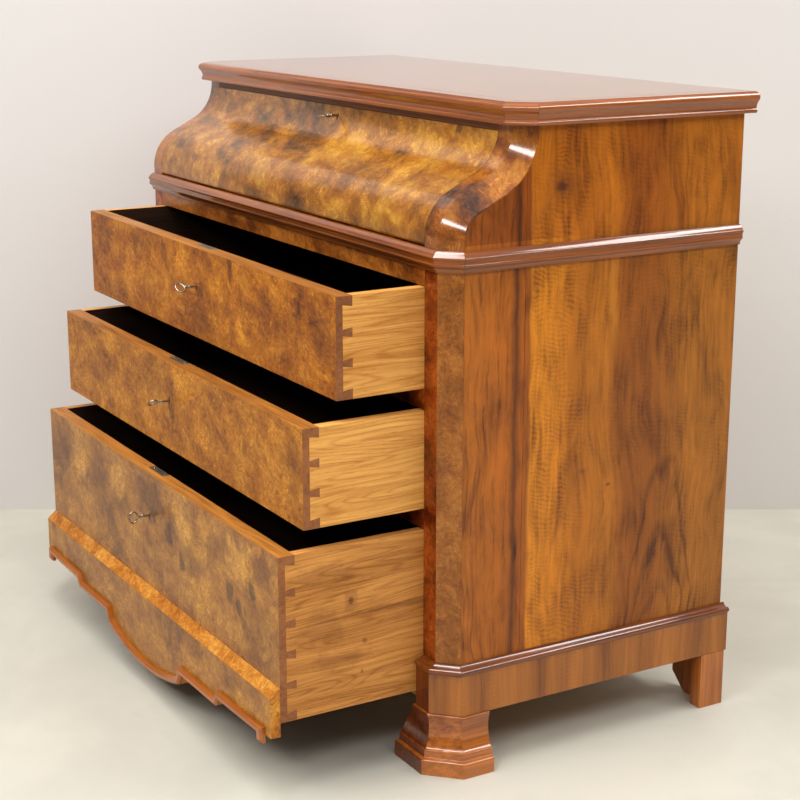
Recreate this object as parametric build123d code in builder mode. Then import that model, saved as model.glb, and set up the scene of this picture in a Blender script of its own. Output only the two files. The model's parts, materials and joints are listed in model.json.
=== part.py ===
from build123d import *
import math
import os

# Fall-front commode. Millimetres, +Z up, the front faces -Y, the right side +X.
# The origin is on the floor, under the middle of the carcass. At rest the three
# long drawers stand open and the ogee fall is closed.

# Carcass
carcass_width = 1138.0
carcass_depth = 558.0
post_width = 65.0
cant = 28.0
side_setback = 30.0
post_depth = 52.0
side_thickness = 22.0
side_seam = 140.0
back_thickness = 16.0
back_rebate = 12.0
back_board_count = 4
glue_line = 0.2

# Heights, from the floor up
foot_height = 98.0
bottom_lift = 3.5
bottom_thickness = 20.0
bottom_recess = 1.0
run_clearance = 0.5
head_clearance = 1.0
lower_height = 268.0
middle_height = 158.0
upper_height = 158.0
rail_thickness = 33.5
frieze_height = 60.0
ogee_height = 179.0
slab_thickness = 34.0

# Rails, runners and the writing compartment
rail_depth = 60.0
runner_width = 67.0
guide_height = 20.0
stop_height = 6.0
stop_length = 24.0
stop_width = 50.0
stop_spacing = 500.0
stop_gap = 0.3
frieze_depth = 30.0
floor_thickness = 18.0
lining_thickness = 14.0
top_rail_depth = 60.0
top_rail_height = 30.0

# Long drawers
side_gap = 0.7
front_thickness = 28.0
dovetail_lap = 11.5
half_pin = 15.0
pin_width = 11.5
pin_slope = 2.75
drawer_side_thickness = 18.0
drawer_back_thickness = 16.0
drawer_back_drop = 10.0
drawer_bottom_thickness = 9.0
drawer_bottom_rise = 12.0
drawer_groove = 6.0
drawer_tail_air = 18.0
upper_open = 152.0
middle_open = 210.0
lower_open = 254.0
upper_tail_count = 3
middle_tail_count = 3
lower_tail_count = 5

# Ogee front and the fall
ogee_setback = 130.0
belly_rise = 13.0
hollow_drop = 6.0
fall_thickness = 22.0
fall_end_gap = 1.0
fall_seat_gap = 1.0
fall_stop_gap = 0.3
fall_top_gap = 13.0
hinge_inset = 6.0
swing_gap = 1.0

# Mouldings: how far they stand out from the carcass, and how high they are
waist_projection = 11.0
waist_moulding_height = 33.0
base_projection = 17.0
base_moulding_height = 16.0
plinth_projection = 13.3
plinth_height = 68.0
plinth_cant = 39.3
plinth_block_depth = 60.0
plinth_overhang = 6.0
slab_projection = 19.0
slab_lead = 5.0
slab_moulding_depth = 21.0
slab_overhang = 14.0

# Feet
foot_projection = 18.0
foot_length = 75.0
foot_inner_inset = 71.0
foot_inner_projection = 32.0
rear_foot_length = 50.0
rear_foot_inset = 4.0
rear_foot_thickness = 25.0
bracket_reach = 102.0
bracket_thickness = 20.0
bracket_setback = 22.0
bracket_heel = 30.0
bracket_toe = 70.0

# Apron and bead on the lowest drawer
apron_thickness = 17.0
apron_lift = 34.0
apron_height = 146.0
apron_bevel = 15.0
bead_width = 13.0
bead_projection = 9.0
bead_chamfer = 3.5
bead_end = 19.0
bead_drop = 13.0
hook_width = 18.0

# Locks of the long drawers, and all four keys
lock_width = 64.0
lock_height = 92.0
lock_thickness = 12.0
lock_wall = 2.0
selvage_thickness = 2.0
selvage_depth = 14.0
upper_key_drop = 66.5
middle_key_drop = 69.0
lower_key_drop = 76.5
bolt_width = 12.0
bolt_thickness = 2.5
bolt_travel = 8.0
bolt_gap = 0.4
bolt_foot_rise = 20.0
mortise_gap = 1.0
key_radius = 2.5
keyhole_gap = 0.6
key_tip_gap = 0.5
bit_reach = 7.0
bit_width = 4.0
bit_thickness = 2.0
bow_distance = 31.0
bow_length = 18.5
bow_width = 23.0
bow_wire = 3.0
bow_thickness = 3.0
bow_side_count = 12
upper_key_angle = -52.0
middle_key_angle = 55.0
lower_key_angle = 4.0
fall_key_angle = 85.0

# Lock of the fall
fall_lock_width = 50.0
fall_lock_drop = 45.0
fall_lock_head = 10.5
fall_lock_depth = 2.3
fall_lock_thickness = 9.0
fall_lock_wall = 1.5
fall_key_drop = 16.0
fall_bolt_width = 12.0
fall_bolt_offset = 14.0
fall_bolt_drop = 8.5
fall_bolt_length = 28.0
fall_bolt_travel = 9.0

# Pivot hinges of the fall
pivot_radius = 2.5
pivot_gap = 0.3
pivot_length = 8.0
plate_thickness = 2.0
plate_width = 11.0
plate_height = 21.0
plate_margin = 1.5
plate_chamfer = 2.5

# Gallery inside the compartment
gallery_front = 230.0
gallery_board = 8.0
gallery_height = 84.0
small_drawer_width = 300.0
small_drawer_gap = 0.6
small_drawer_front = 12.0
small_drawer_wall = 7.0
small_drawer_bottom = 5.0
small_drawer_tail_air = 72.0
knob_radius = 8.0
knob_neck = 3.5
knob_length = 16.0
knob_head = 8.0
knob_spigot = 6.0

# One overrun serves every cut that passes right through
overrun = 5.0

# Profiles and outlines are shares of the projection and the height that they follow.
# A step with one point is a straight, and a step with two is an arc through the first
# to the second. The first step is where the outline starts.
ogee_arc_share = 0.475
waist_shares = [
    [(0.18, 1.00)],
    [(0.62, 0.90), (0.92, 0.76)],
    [(1.04, 0.68), (0.88, 0.60)],
    [(0.86, 0.42)],
    [(0.90, 0.34), (0.74, 0.27)],
    [(0.48, 0.18), (0.36, 0.00)],
]
base_shares = [
    [(0.12, 1.00)],
    [(0.30, 0.72), (0.62, 0.62)],
    [(1.00, 0.40), (0.84, 0.16)],
    [(0.80, 0.00)],
]
slab_shares = [
    [(0.66, 0.00)],
    [(0.74, 0.10), (0.64, 0.20)],
    [(0.70, 0.42), (0.86, 0.56)],
    [(0.92, 0.60)],
    [(1.02, 0.76), (0.86, 0.92)],
    [(0.60, 0.98), (0.30, 1.00)],
]
foot_shares = [
    [(1.00, 0.00)],
    [(1.00, 0.22)],
    [(0.97, 0.25), (0.88, 0.265)],
    [(0.58, 0.28)],
    [(0.58, 0.40)],
    [(0.34, 0.44), (0.22, 0.50)],
    [(-0.06, 0.76), (0.10, 0.95)],
    [(0.17, 0.96)],
    [(0.17, 1.00)],
]
foot_inner_shares = [
    [(0.94, 0.00)],
    [(1.00, 0.08)],
    [(0.91, 0.32), (0.78, 0.58)],
    [(0.50, 0.76), (0.16, 0.92)],
    [(0.00, 1.00)],
]
scallop_shares = [
    [(0.00, 0.00)],
    [(0.160, 0.044), (0.318, 0.178)],
    [(0.338, 0.315)],
    [(0.620, 0.322)],
    [(0.640, 0.418)],
    [(1.000, 0.448)],
]

# Working sizes
half_width = carcass_width / 2
half_opening = half_width - post_width
front_y = -carcass_depth / 2
back_y = carcass_depth / 2
inner_back_y = back_y - back_thickness
inner_side_x = half_width - side_thickness
post_back_y = front_y + post_depth
plinth_x = half_width + plinth_projection
plinth_back_y = back_y + plinth_overhang

bottom_z = foot_height + bottom_lift
bottom_top_z = bottom_z + bottom_thickness
lower_z = bottom_top_z + run_clearance
lower_rail_z = lower_z + lower_height + head_clearance
middle_z = lower_rail_z + rail_thickness + run_clearance
upper_rail_z = middle_z + middle_height + head_clearance
upper_z = upper_rail_z + rail_thickness + run_clearance
frieze_z = upper_z + upper_height + head_clearance
waist_z = frieze_z + frieze_height
slab_z = waist_z + ogee_height
plinth_top_z = foot_height + plinth_height

# The ogee is a belly and a hollow with their common tangent between them
belly_z = waist_z + belly_rise
hollow_z = slab_z - hollow_drop
arc_radius = ogee_arc_share * (hollow_z - belly_z)
belly_y = front_y + arc_radius
hollow_y = front_y + ogee_setback - arc_radius
centre_distance = math.hypot(hollow_y - belly_y, hollow_z - belly_z)
centre_angle = math.degrees(math.atan2(hollow_z - belly_z, hollow_y - belly_y))
tangent_angle = centre_angle + math.degrees(math.acos(2 * arc_radius / centre_distance))

# The fall swings about its pivots, and its top edge is an arc about them
pivot_y = front_y + hinge_inset
pivot_z = waist_z + fall_seat_gap + hinge_inset
fall_top_z = slab_z - fall_top_gap
fall_top_y = hollow_y + math.sqrt(arc_radius**2 - (hollow_z - fall_top_z) ** 2)
swing_radius = math.hypot(fall_top_y - pivot_y, fall_top_z - pivot_z)
heel_radius = math.hypot(fall_thickness - hinge_inset, hinge_inset)
fall_half = half_opening - fall_end_gap


def board(corner, opposite, mode=Mode.ADD):
    """A square-edged board between two opposite corners, in the part being built."""
    size = Vector(opposite) - Vector(corner)
    with Locations((Vector(corner) + Vector(opposite)) / 2):
        Box(abs(size.X), abs(size.Y), abs(size.Z), mode=mode)


def save(builder, label):
    """Label a finished piece and write it."""
    builder.part.label = label
    export_step(builder.part, f"parts/{label}.step")


def save_pair(right, label):
    """Write a right-hand piece and its mirror image."""
    with BuildPart() as left:
        mirror(right.part, about=Plane.YZ)
    save(right, f"{label}_right")
    save(left, f"{label}_left")


def follow_shares(steps, across, up):
    """Straights and arcs through hand-chosen shares, in the line being drawn."""
    places = [[(x * across, z * up) for x, z in step] for step in steps]
    here = places[0][0]
    for step in places[1:]:
        if len(step) == 1:
            Line(here, step[0])
        else:
            ThreePointArc(here, *step)
        here = step[-1]
    return places[0][0], here


def moulding_face(plane, shares, across, up, depth):
    """A moulding's section: its shaped edge, and wood behind it to a flat back."""
    with BuildSketch(plane) as section:
        with BuildLine():
            start, end = follow_shares(shares, across, up)
            Polyline(start, (-depth, start[1]), (-depth, end[1]), end)
        make_face()
    return section.sketch


def moulding_plane(corner, outward):
    """A plane across a moulding, with its own x outwards and its own y up."""
    return Plane(origin=corner, x_dir=outward, z_dir=outward.cross(Vector(0, 0, 1)))


def mitred_mouldings(corners, z, shares, across, up, depth):
    """Mitred lengths along a row of corners, travelling with the outside on the right."""
    points = [Vector(x, y, z) for x, y in corners]
    runs = [(end - start).normalized() for start, end in zip(points, points[1:])]
    strips = []
    for index, run in enumerate(runs):
        start, end = points[index], points[index + 1]
        spare = depth + across
        begin = start if index == 0 else start - run * spare
        finish = end if run is runs[-1] else end + run * spare
        across_face = moulding_plane(begin, Vector(run.Y, -run.X, 0))
        with BuildPart() as strip:
            face = moulding_face(across_face, shares, across, up, depth)
            extrude(face, amount=-(finish - begin).length)
            if index > 0:
                mitre = (runs[index - 1] + run).normalized()
                edge = start + mitre * (glue_line / 2)
                split(bisect_by=Plane(origin=edge, z_dir=mitre), keep=Keep.TOP)
            if index < len(runs) - 1:
                mitre = (run + runs[index + 1]).normalized()
                edge = end - mitre * (glue_line / 2)
                split(bisect_by=Plane(origin=edge, z_dir=mitre), keep=Keep.BOTTOM)
        strips.append(strip.part)
    return strips


def perimeter(front, back):
    """Corners round the front of the commode, from the left back to the right back."""
    right = [(half_width - cant, front), (half_width, front + cant), (half_width, back)]
    return [(-x, y) for x, y in reversed(right)] + right


def on_circle(centre, radius, angle):
    """A point on a circle, at an angle in degrees."""
    turn = math.radians(angle)
    return (centre[0] + radius * math.cos(turn), centre[1] + radius * math.sin(turn))


def ogee_edge(inset, low_z, high_z):
    """The ogee front moved back into the wood, drawn upwards in (y, z)."""
    belly = (belly_y, belly_z)
    hollow = (hollow_y, hollow_z)
    belly_radius = arc_radius - inset
    hollow_radius = arc_radius + inset
    start = (front_y + inset, low_z)
    end = (hollow_y + hollow_radius, high_z)
    Line(start, (front_y + inset, belly_z))
    CenterArc(belly, belly_radius, 180, tangent_angle - 180)
    Line(
        on_circle(belly, belly_radius, tangent_angle),
        on_circle(hollow, hollow_radius, tangent_angle + 180),
    )
    CenterArc(hollow, hollow_radius, tangent_angle - 180, 180 - tangent_angle)
    Line((hollow_y + hollow_radius, hollow_z), end)
    return start, end


def ogee_band(plane, outer, inner, low_z, high_z):
    """The face between two insets of the ogee front."""
    with BuildSketch(plane) as band:
        with BuildLine():
            outer_start, outer_end = ogee_edge(outer, low_z, high_z)
            inner_start, inner_end = ogee_edge(inner, low_z, high_z)
            Line(outer_start, inner_start)
            Line(outer_end, inner_end)
        make_face()
    return band.sketch


def ogee_board(plane, inset, back, low_z):
    """The face from an inset of the ogee front to a straight back edge."""
    with BuildSketch(plane) as outline:
        with BuildLine():
            start, end = ogee_edge(inset, low_z, slab_z)
            Polyline(end, (back, slab_z), (back, low_z), start)
        make_face()
    return outline.sketch


def keyhole_face(y, z):
    """A keyhole, looking along the key: a round for the shank and a slot for the bit."""
    with BuildSketch(Plane(origin=(0, y, z), x_dir=(1, 0, 0), z_dir=(0, -1, 0))) as hole:
        Circle(key_radius + keyhole_gap)
        slot_depth = bit_reach + keyhole_gap
        with Locations((0, -slot_depth / 2)):
            Rectangle(bit_thickness + 2 * keyhole_gap, slot_depth)
    return hole.sketch


def bow_corners(inset):
    """Corners of a key's bow, an oval with straight sides."""
    half_length = bow_length / 2 - inset
    half_width = bow_width / 2 - inset
    steps = [(number + 0.5) / bow_side_count for number in range(bow_side_count)]
    turns = [2 * math.pi * step for step in steps]
    return [(half_length * math.cos(turn), half_width * math.sin(turn)) for turn in turns]


def key_part(tip_y, face_y, z, angle):
    """A key along Y: shank, bit at its tip and flat bow, turned about its shank."""
    bow_y = face_y - bow_distance
    with BuildPart() as key:
        with BuildSketch(Plane(origin=(0, tip_y, z), z_dir=(0, -1, 0))):
            Circle(key_radius)
        extrude(amount=tip_y - bow_y - (bow_length - bow_wire) / 2)
        with BuildSketch(Plane(origin=(0, bow_y, z), x_dir=(0, 1, 0), z_dir=(1, 0, 0))):
            Polygon(*bow_corners(0), align=None)
            Polygon(*bow_corners(bow_wire), align=None, mode=Mode.SUBTRACT)
        extrude(amount=bow_thickness / 2, both=True)
        board(
            (-bit_thickness / 2, tip_y - key_tip_gap - bit_width, z - bit_reach),
            (bit_thickness / 2, tip_y - key_tip_gap, z),
        )
    return key.part.rotate(Axis((0, bow_y, z), (0, 1, 0)), angle)


def lock_cavity(low_y, high_y, z, top_z):
    """Clear the key's way in the lock being built, from its open front."""
    sweep = bit_reach + keyhole_gap
    board((-sweep, low_y, z - sweep), (sweep, high_y, top_z), mode=Mode.SUBTRACT)


os.makedirs("parts", exist_ok=True)


# Posts: square stiles with a canted corner, and the ogee stiles that stand on them
with BuildPart() as corner_post:
    with BuildSketch(Plane.XY.offset(foot_height)):
        with BuildLine():
            Polyline(
                (half_opening, front_y),
                (half_width - cant, front_y),
                (half_width, front_y + cant),
                (half_width, front_y + side_setback),
                (inner_side_x, front_y + side_setback),
                (inner_side_x, post_back_y),
                (half_opening, post_back_y),
                close=True,
            )
        make_face()
    extrude(amount=waist_z - foot_height)
save_pair(corner_post, "corner_post")


def hinge_plate_face(plane):
    """Outline of a pivot hinge's plate, its lower front corner cut off inside the fall's heel."""
    margin = hinge_inset - plate_margin
    with BuildSketch(plane) as outline:
        low_y, low_z = pivot_y - margin, pivot_z - margin
        with Locations((low_y + plate_width / 2, low_z + plate_height / 2)):
            Rectangle(plate_width, plate_height)
        corner = outline.vertices().sort_by(Axis.Y)[:2].sort_by(Axis.X)[0]
        chamfer(corner, length=plate_chamfer)
    return outline.sketch


def pivot_face(plane, radius):
    """A round on the pivot axis of the fall."""
    with BuildSketch(plane) as round_face:
        with Locations((pivot_y, pivot_z)):
            Circle(radius)
    return round_face.sketch


post_plane = Plane.YZ.offset(half_opening)
with BuildPart() as ogee_post:
    outer_band = ogee_band(post_plane, 0, side_setback, waist_z, slab_z)
    extrude(outer_band, amount=half_width - half_opening)
    front_faces = [face for face in ogee_post.faces() if face.normal_at().Y < -0.1]
    chamfer([face.edges().sort_by(Axis.X)[-1] for face in front_faces], length=cant)
    inner_band = ogee_band(post_plane, side_setback, post_depth, waist_z, slab_z)
    extrude(inner_band, amount=inner_side_x - half_opening)
    extrude(hinge_plate_face(post_plane), amount=plate_thickness, mode=Mode.SUBTRACT)
save_pair(ogee_post, "ogee_post")

with BuildPart() as fall_pivots:
    extrude(hinge_plate_face(post_plane), amount=plate_thickness)
    extrude(pivot_face(post_plane, pivot_radius), amount=-pivot_length)
    mirror(about=Plane.YZ)
save(fall_pivots, "fall_pivots")


# Sides: two boards each, joined along a straight seam, rebated for the back
with BuildPart() as side_panel:
    outline = ogee_board(Plane.YZ.offset(inner_side_x), side_setback, back_y, foot_height)
    extrude(outline, amount=side_thickness)
    board(
        (inner_side_x, inner_back_y, foot_height),
        (inner_side_x + back_rebate, back_y, slab_z),
        mode=Mode.SUBTRACT,
    )
    seam_y = front_y + side_seam
    board(
        (inner_side_x, seam_y - glue_line / 2, foot_height),
        (half_width, seam_y + glue_line / 2, slab_z),
        mode=Mode.SUBTRACT,
    )
save_pair(side_panel, "side_panel")


# Back: upright boards side by side in the rebates
back_half = inner_side_x + back_rebate
back_pitch = 2 * back_half / back_board_count
with BuildPart() as back_boards:
    for number in range(back_board_count):
        left = -back_half + number * back_pitch
        board(
            (left + glue_line / 2, inner_back_y, foot_height),
            (left + back_pitch - glue_line / 2, back_y, slab_z),
        )
save(back_boards, "back_boards")


def notched_board(low_y, low_z, thickness):
    """A board across the whole carcass, notched round the two front posts."""
    with BuildPart() as panel:
        board((-inner_side_x, low_y, low_z), (inner_side_x, inner_back_y, low_z + thickness))
        for side in (-1, 1):
            board(
                (side * half_opening, low_y, low_z),
                (side * inner_side_x, post_back_y, low_z + thickness),
                mode=Mode.SUBTRACT,
            )
    return panel


save(notched_board(front_y + bottom_recess, bottom_z, bottom_thickness), "bottom_board")
floor_z = waist_z - floor_thickness
save(notched_board(front_y + frieze_depth, floor_z, floor_thickness), "compartment_floor")


# Lock bolts shoot up into mortises, at the same place in the rail over each drawer
bolt_y = front_thickness - lock_thickness / 2


def cut_mortise(rail_z):
    """Cut the mortise for a drawer's bolt in the rail being built."""
    reach = bolt_travel - head_clearance + mortise_gap
    half_x = bolt_width / 2 + mortise_gap
    half_y = bolt_thickness / 2 + mortise_gap
    board(
        (-half_x, front_y + bolt_y - half_y, rail_z),
        (half_x, front_y + bolt_y + half_y, rail_z + reach),
        mode=Mode.SUBTRACT,
    )


with BuildPart() as drawer_rails:
    for rail_z in (lower_rail_z, upper_rail_z):
        board(
            (-half_opening, front_y, rail_z),
            (half_opening, front_y + rail_depth, rail_z + rail_thickness),
        )
        cut_mortise(rail_z)
save(drawer_rails, "drawer_rails")

with BuildPart() as frieze_rail:
    board((-half_opening, front_y, frieze_z), (half_opening, front_y + frieze_depth, waist_z))
    cut_mortise(frieze_z)
save(frieze_rail, "frieze_rail")


# Under each drawer's sides are runners, with a guide on top and stops behind the front
runner_x = inner_side_x - runner_width
with BuildPart() as drawer_runners:
    for rail_z in (lower_rail_z, upper_rail_z):
        board(
            (runner_x, front_y + rail_depth, rail_z),
            (inner_side_x, inner_back_y, rail_z + rail_thickness),
        )
    board((runner_x, front_y + frieze_depth, frieze_z), (inner_side_x, inner_back_y, floor_z))
    with Locations(((half_opening + inner_side_x) / 2, (front_y + post_back_y) / 2, frieze_z)):
        Box(
            inner_side_x - half_opening,
            post_depth,
            frieze_height,
            align=(Align.CENTER, Align.CENTER, Align.MIN),
            mode=Mode.SUBTRACT,
        )
    mirror(about=Plane.YZ)
save(drawer_runners, "drawer_runners")

shelf_heights = (bottom_top_z, lower_rail_z + rail_thickness, upper_rail_z + rail_thickness)
with BuildPart() as drawer_guides:
    for shelf_z in shelf_heights:
        board(
            (half_opening, post_back_y, shelf_z),
            (inner_side_x, inner_back_y, shelf_z + guide_height),
        )
    mirror(about=Plane.YZ)
save(drawer_guides, "drawer_guides")

stop_y = front_y + front_thickness + stop_gap
with BuildPart() as drawer_stops:
    for shelf_z in shelf_heights:
        board(
            (stop_spacing / 2 - stop_width / 2, stop_y, shelf_z),
            (stop_spacing / 2 + stop_width / 2, stop_y + stop_length, shelf_z + stop_height),
        )
    mirror(about=Plane.YZ)
save(drawer_stops, "drawer_stops")


# Top rail over the fall, hollowed underneath so that the fall's edge swings past it
fall_lock_y = fall_top_y + fall_lock_depth
fall_bolt_y = fall_lock_y + fall_lock_thickness / 2
fall_bolt_top_z = fall_top_z - fall_bolt_drop
top_rail_y = front_y + ogee_setback
with BuildPart() as top_rail:
    board(
        (-half_opening, top_rail_y, slab_z - top_rail_height),
        (half_opening, top_rail_y + top_rail_depth, slab_z),
    )
    swing_face = pivot_face(Plane.YZ, swing_radius + swing_gap)
    extrude(swing_face, amount=half_opening, both=True, mode=Mode.SUBTRACT)
    board(
        (
            fall_bolt_offset - fall_bolt_width / 2 - mortise_gap,
            fall_bolt_y - bolt_thickness / 2 - mortise_gap,
            slab_z - top_rail_height,
        ),
        (
            fall_bolt_offset + fall_bolt_width / 2 + mortise_gap,
            fall_bolt_y + bolt_thickness / 2 + mortise_gap,
            fall_bolt_top_z + fall_bolt_travel + mortise_gap,
        ),
        mode=Mode.SUBTRACT,
    )
save(top_rail, "top_rail")


# Lining boards close the compartment's ends, and the fall shuts against their edges
lining_x = half_opening - lining_thickness
with BuildPart() as compartment_sides:
    lining_inset = fall_thickness + fall_stop_gap
    outline = ogee_board(Plane.YZ.offset(lining_x), lining_inset, inner_back_y, waist_z)
    extrude(outline, amount=lining_thickness)
    heel_face = pivot_face(Plane.YZ.offset(lining_x), heel_radius + swing_gap)
    extrude(heel_face, amount=lining_thickness, mode=Mode.SUBTRACT)
    add(top_rail.part, mode=Mode.SUBTRACT)
    mirror(about=Plane.YZ)
save(compartment_sides, "compartment_sides")


# Gallery: a shelf on four uprights, with a small drawer at each end
gallery_y = front_y + gallery_front
shelf_z = waist_z + gallery_height
small_opening = small_drawer_width + 2 * small_drawer_gap
small_drawer_length = inner_back_y - small_drawer_tail_air - gallery_y
with BuildPart() as gallery_case:
    board((-lining_x, gallery_y, shelf_z), (lining_x, inner_back_y, shelf_z + gallery_board))
    for upright_x in (lining_x - gallery_board, lining_x - 2 * gallery_board - small_opening):
        for side in (-1, 1):
            board(
                (side * upright_x, gallery_y, waist_z),
                (side * (upright_x + gallery_board), inner_back_y, shelf_z - glue_line),
            )
save(gallery_case, "gallery_case")

small_drawer_x = lining_x - gallery_board - small_opening / 2
small_drawer_top_z = shelf_z - glue_line - small_drawer_gap
with BuildPart() as small_drawer:
    low_z = waist_z + small_drawer_gap
    half = small_drawer_width / 2
    board(
        (small_drawer_x - half, gallery_y, low_z),
        (small_drawer_x + half, gallery_y + small_drawer_length, small_drawer_top_z),
    )
    board(
        (
            small_drawer_x - half + small_drawer_wall,
            gallery_y + small_drawer_front,
            low_z + small_drawer_bottom,
        ),
        (
            small_drawer_x + half - small_drawer_wall,
            gallery_y + small_drawer_length - small_drawer_wall,
            small_drawer_top_z,
        ),
        mode=Mode.SUBTRACT,
    )
    knob_z = (low_z + small_drawer_top_z) / 2
    with BuildSketch(Plane(origin=(small_drawer_x, gallery_y, knob_z), z_dir=(0, -1, 0))):
        Circle(knob_neck)
    extrude(amount=-knob_spigot, mode=Mode.SUBTRACT)
save_pair(small_drawer, "small_drawer")

with BuildPart() as small_drawer_knob:
    knob_plane = Plane(origin=(small_drawer_x, gallery_y + knob_spigot, knob_z), z_dir=(0, -1, 0))
    neck_length = knob_spigot + knob_length - knob_head
    with BuildSketch(knob_plane):
        Circle(knob_neck)
    extrude(amount=neck_length)
    with BuildSketch(knob_plane.offset(neck_length)):
        Circle(knob_radius)
    extrude(amount=knob_head)
save_pair(small_drawer_knob, "small_drawer_knob")


# Slab: a wide board framed on three sides by mitred moulding strips
slab_front_y = top_rail_y - slab_lead
slab_back_y = back_y + slab_overhang
with BuildPart() as top_moulding:
    for strip in mitred_mouldings(
        perimeter(slab_front_y, slab_back_y),
        slab_z,
        slab_shares,
        slab_projection,
        slab_thickness,
        slab_moulding_depth,
    ):
        add(strip)
save(top_moulding, "top_moulding")

with BuildPart() as top_board:
    inset = slab_moulding_depth + glue_line
    board_cant = cant - inset * (2 - math.sqrt(2))
    board_x = half_width - inset
    with BuildSketch(Plane.XY.offset(slab_z)):
        with BuildLine():
            Polyline(
                (-board_x, slab_back_y),
                (-board_x, slab_front_y + inset + board_cant),
                (-board_x + board_cant, slab_front_y + inset),
                (board_x - board_cant, slab_front_y + inset),
                (board_x, slab_front_y + inset + board_cant),
                (board_x, slab_back_y),
                close=True,
            )
        make_face()
    extrude(amount=slab_thickness)
save(top_board, "top_board")

with BuildPart() as waist_moulding:
    for strip in mitred_mouldings(
        perimeter(front_y, back_y),
        waist_z - waist_moulding_height,
        waist_shares,
        waist_projection,
        waist_moulding_height,
        0,
    ):
        add(strip)
save(waist_moulding, "waist_moulding")


# Plinth: a block round each front corner and a rail along each side, under a moulding
with BuildPart() as base_moulding:
    for strip in mitred_mouldings(
        [(half_opening, front_y)] + perimeter(front_y, plinth_back_y)[3:],
        plinth_top_z,
        base_shares,
        base_projection,
        base_moulding_height,
        0,
    ):
        add(strip)
    mirror(about=Plane.YZ)
save(base_moulding, "base_moulding")

plinth_front_y = front_y - plinth_projection
with BuildPart() as plinth_blocks:
    with BuildSketch(Plane.XY.offset(foot_height)):
        with BuildLine():
            Polyline(
                (half_opening, front_y),
                (half_opening, plinth_front_y),
                (plinth_x - plinth_cant, plinth_front_y),
                (plinth_x, plinth_front_y + plinth_cant),
                (plinth_x, front_y + plinth_block_depth),
                (half_width, front_y + plinth_block_depth),
                (half_width, front_y + cant),
                (half_width - cant, front_y),
                close=True,
            )
        make_face()
    extrude(amount=plinth_height)
    mirror(about=Plane.YZ)
save(plinth_blocks, "plinth_blocks")

with BuildPart() as plinth_rails:
    board(
        (half_width, front_y + plinth_block_depth, foot_height),
        (plinth_x, plinth_back_y, plinth_top_z),
    )
    mirror(about=Plane.YZ)
save(plinth_rails, "plinth_rails")


# Front feet: the same moulded profile on the front, the canted corner and the side
def foot_section(corner, outward, shares, across):
    """A foot's section on one of its faces, deep enough to meet the others."""
    plane = moulding_plane(Vector(*corner, 0), outward)
    return moulding_face(plane, shares, across, foot_height, half_width)


foot_reach = carcass_depth
with BuildPart() as front_foot:
    front_corner = (plinth_x - plinth_cant, plinth_front_y)
    side_corner = (plinth_x, plinth_front_y + plinth_cant)
    inner_corner = (half_width - foot_inner_inset, plinth_front_y)
    front_section = foot_section(front_corner, Vector(0, -1, 0), foot_shares, foot_projection)
    cant_section = foot_section(
        front_corner, Vector(1, -1, 0).normalized(), foot_shares, foot_projection
    )
    side_section = foot_section(side_corner, Vector(1, 0, 0), foot_shares, foot_projection)
    inner_section = foot_section(
        inner_corner, Vector(-1, 0, 0), foot_inner_shares, foot_inner_projection
    )
    extrude(front_section, amount=foot_reach, both=True)
    for section in (cant_section, side_section, inner_section):
        extrude(section, amount=foot_reach, both=True, mode=Mode.INTERSECT)
    board(
        (0, plinth_front_y - foot_reach, 0),
        (carcass_width, front_y + foot_length, foot_height),
        mode=Mode.INTERSECT,
    )
save_pair(front_foot, "front_foot")

rear_foot_back_y = plinth_back_y - rear_foot_inset
rear_foot_front_y = rear_foot_back_y - rear_foot_length
rear_foot_x = plinth_x - rear_foot_thickness
with BuildPart() as rear_foot:
    board((rear_foot_x, rear_foot_front_y, 0), (plinth_x, rear_foot_back_y, foot_height))
    bracket_y = rear_foot_front_y + bracket_setback + bracket_thickness
    with BuildSketch(Plane(origin=(0, bracket_y, 0), x_dir=(1, 0, 0), z_dir=(0, -1, 0))):
        with BuildLine():
            Polyline(
                (rear_foot_x - glue_line, 0),
                (rear_foot_x - glue_line, foot_height),
                (plinth_x - bracket_reach, foot_height),
                (plinth_x - bracket_reach, bracket_heel),
                (plinth_x - bracket_toe, 0),
                close=True,
            )
        make_face()
    extrude(amount=bracket_thickness)
save_pair(rear_foot, "rear_foot")


# Long drawers
half_drawer = half_opening - side_gap
drawer_length = carcass_depth - back_thickness - drawer_tail_air
drawers = [
    (
        "upper",
        upper_z,
        upper_height,
        upper_open,
        upper_key_drop,
        upper_key_angle,
        upper_tail_count,
    ),
    (
        "middle",
        middle_z,
        middle_height,
        middle_open,
        middle_key_drop,
        middle_key_angle,
        middle_tail_count,
    ),
    (
        "lower",
        lower_z,
        lower_height,
        lower_open,
        lower_key_drop,
        lower_key_angle,
        lower_tail_count,
    ),
]


def cut_tails(base_y, tip_y, low_z, high_z, count):
    """Cut the sockets for both sides' dovetails in the board being built."""
    tail_width = (high_z - low_z - 2 * half_pin - (count - 1) * pin_width) / count
    for plane_x in (-half_drawer, half_drawer - drawer_side_thickness):
        with BuildSketch(Plane.YZ.offset(plane_x)) as sockets:
            for number in range(count):
                low = low_z + half_pin + number * (tail_width + pin_width)
                high = low + tail_width
                spread = pin_slope / 2
                with BuildLine():
                    Polyline(
                        (base_y, low + spread),
                        (tip_y, low - spread),
                        (tip_y, high + spread),
                        (base_y, high - spread),
                        close=True,
                    )
                make_face()
        extrude(sockets.sketch, amount=drawer_side_thickness, mode=Mode.SUBTRACT)


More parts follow.
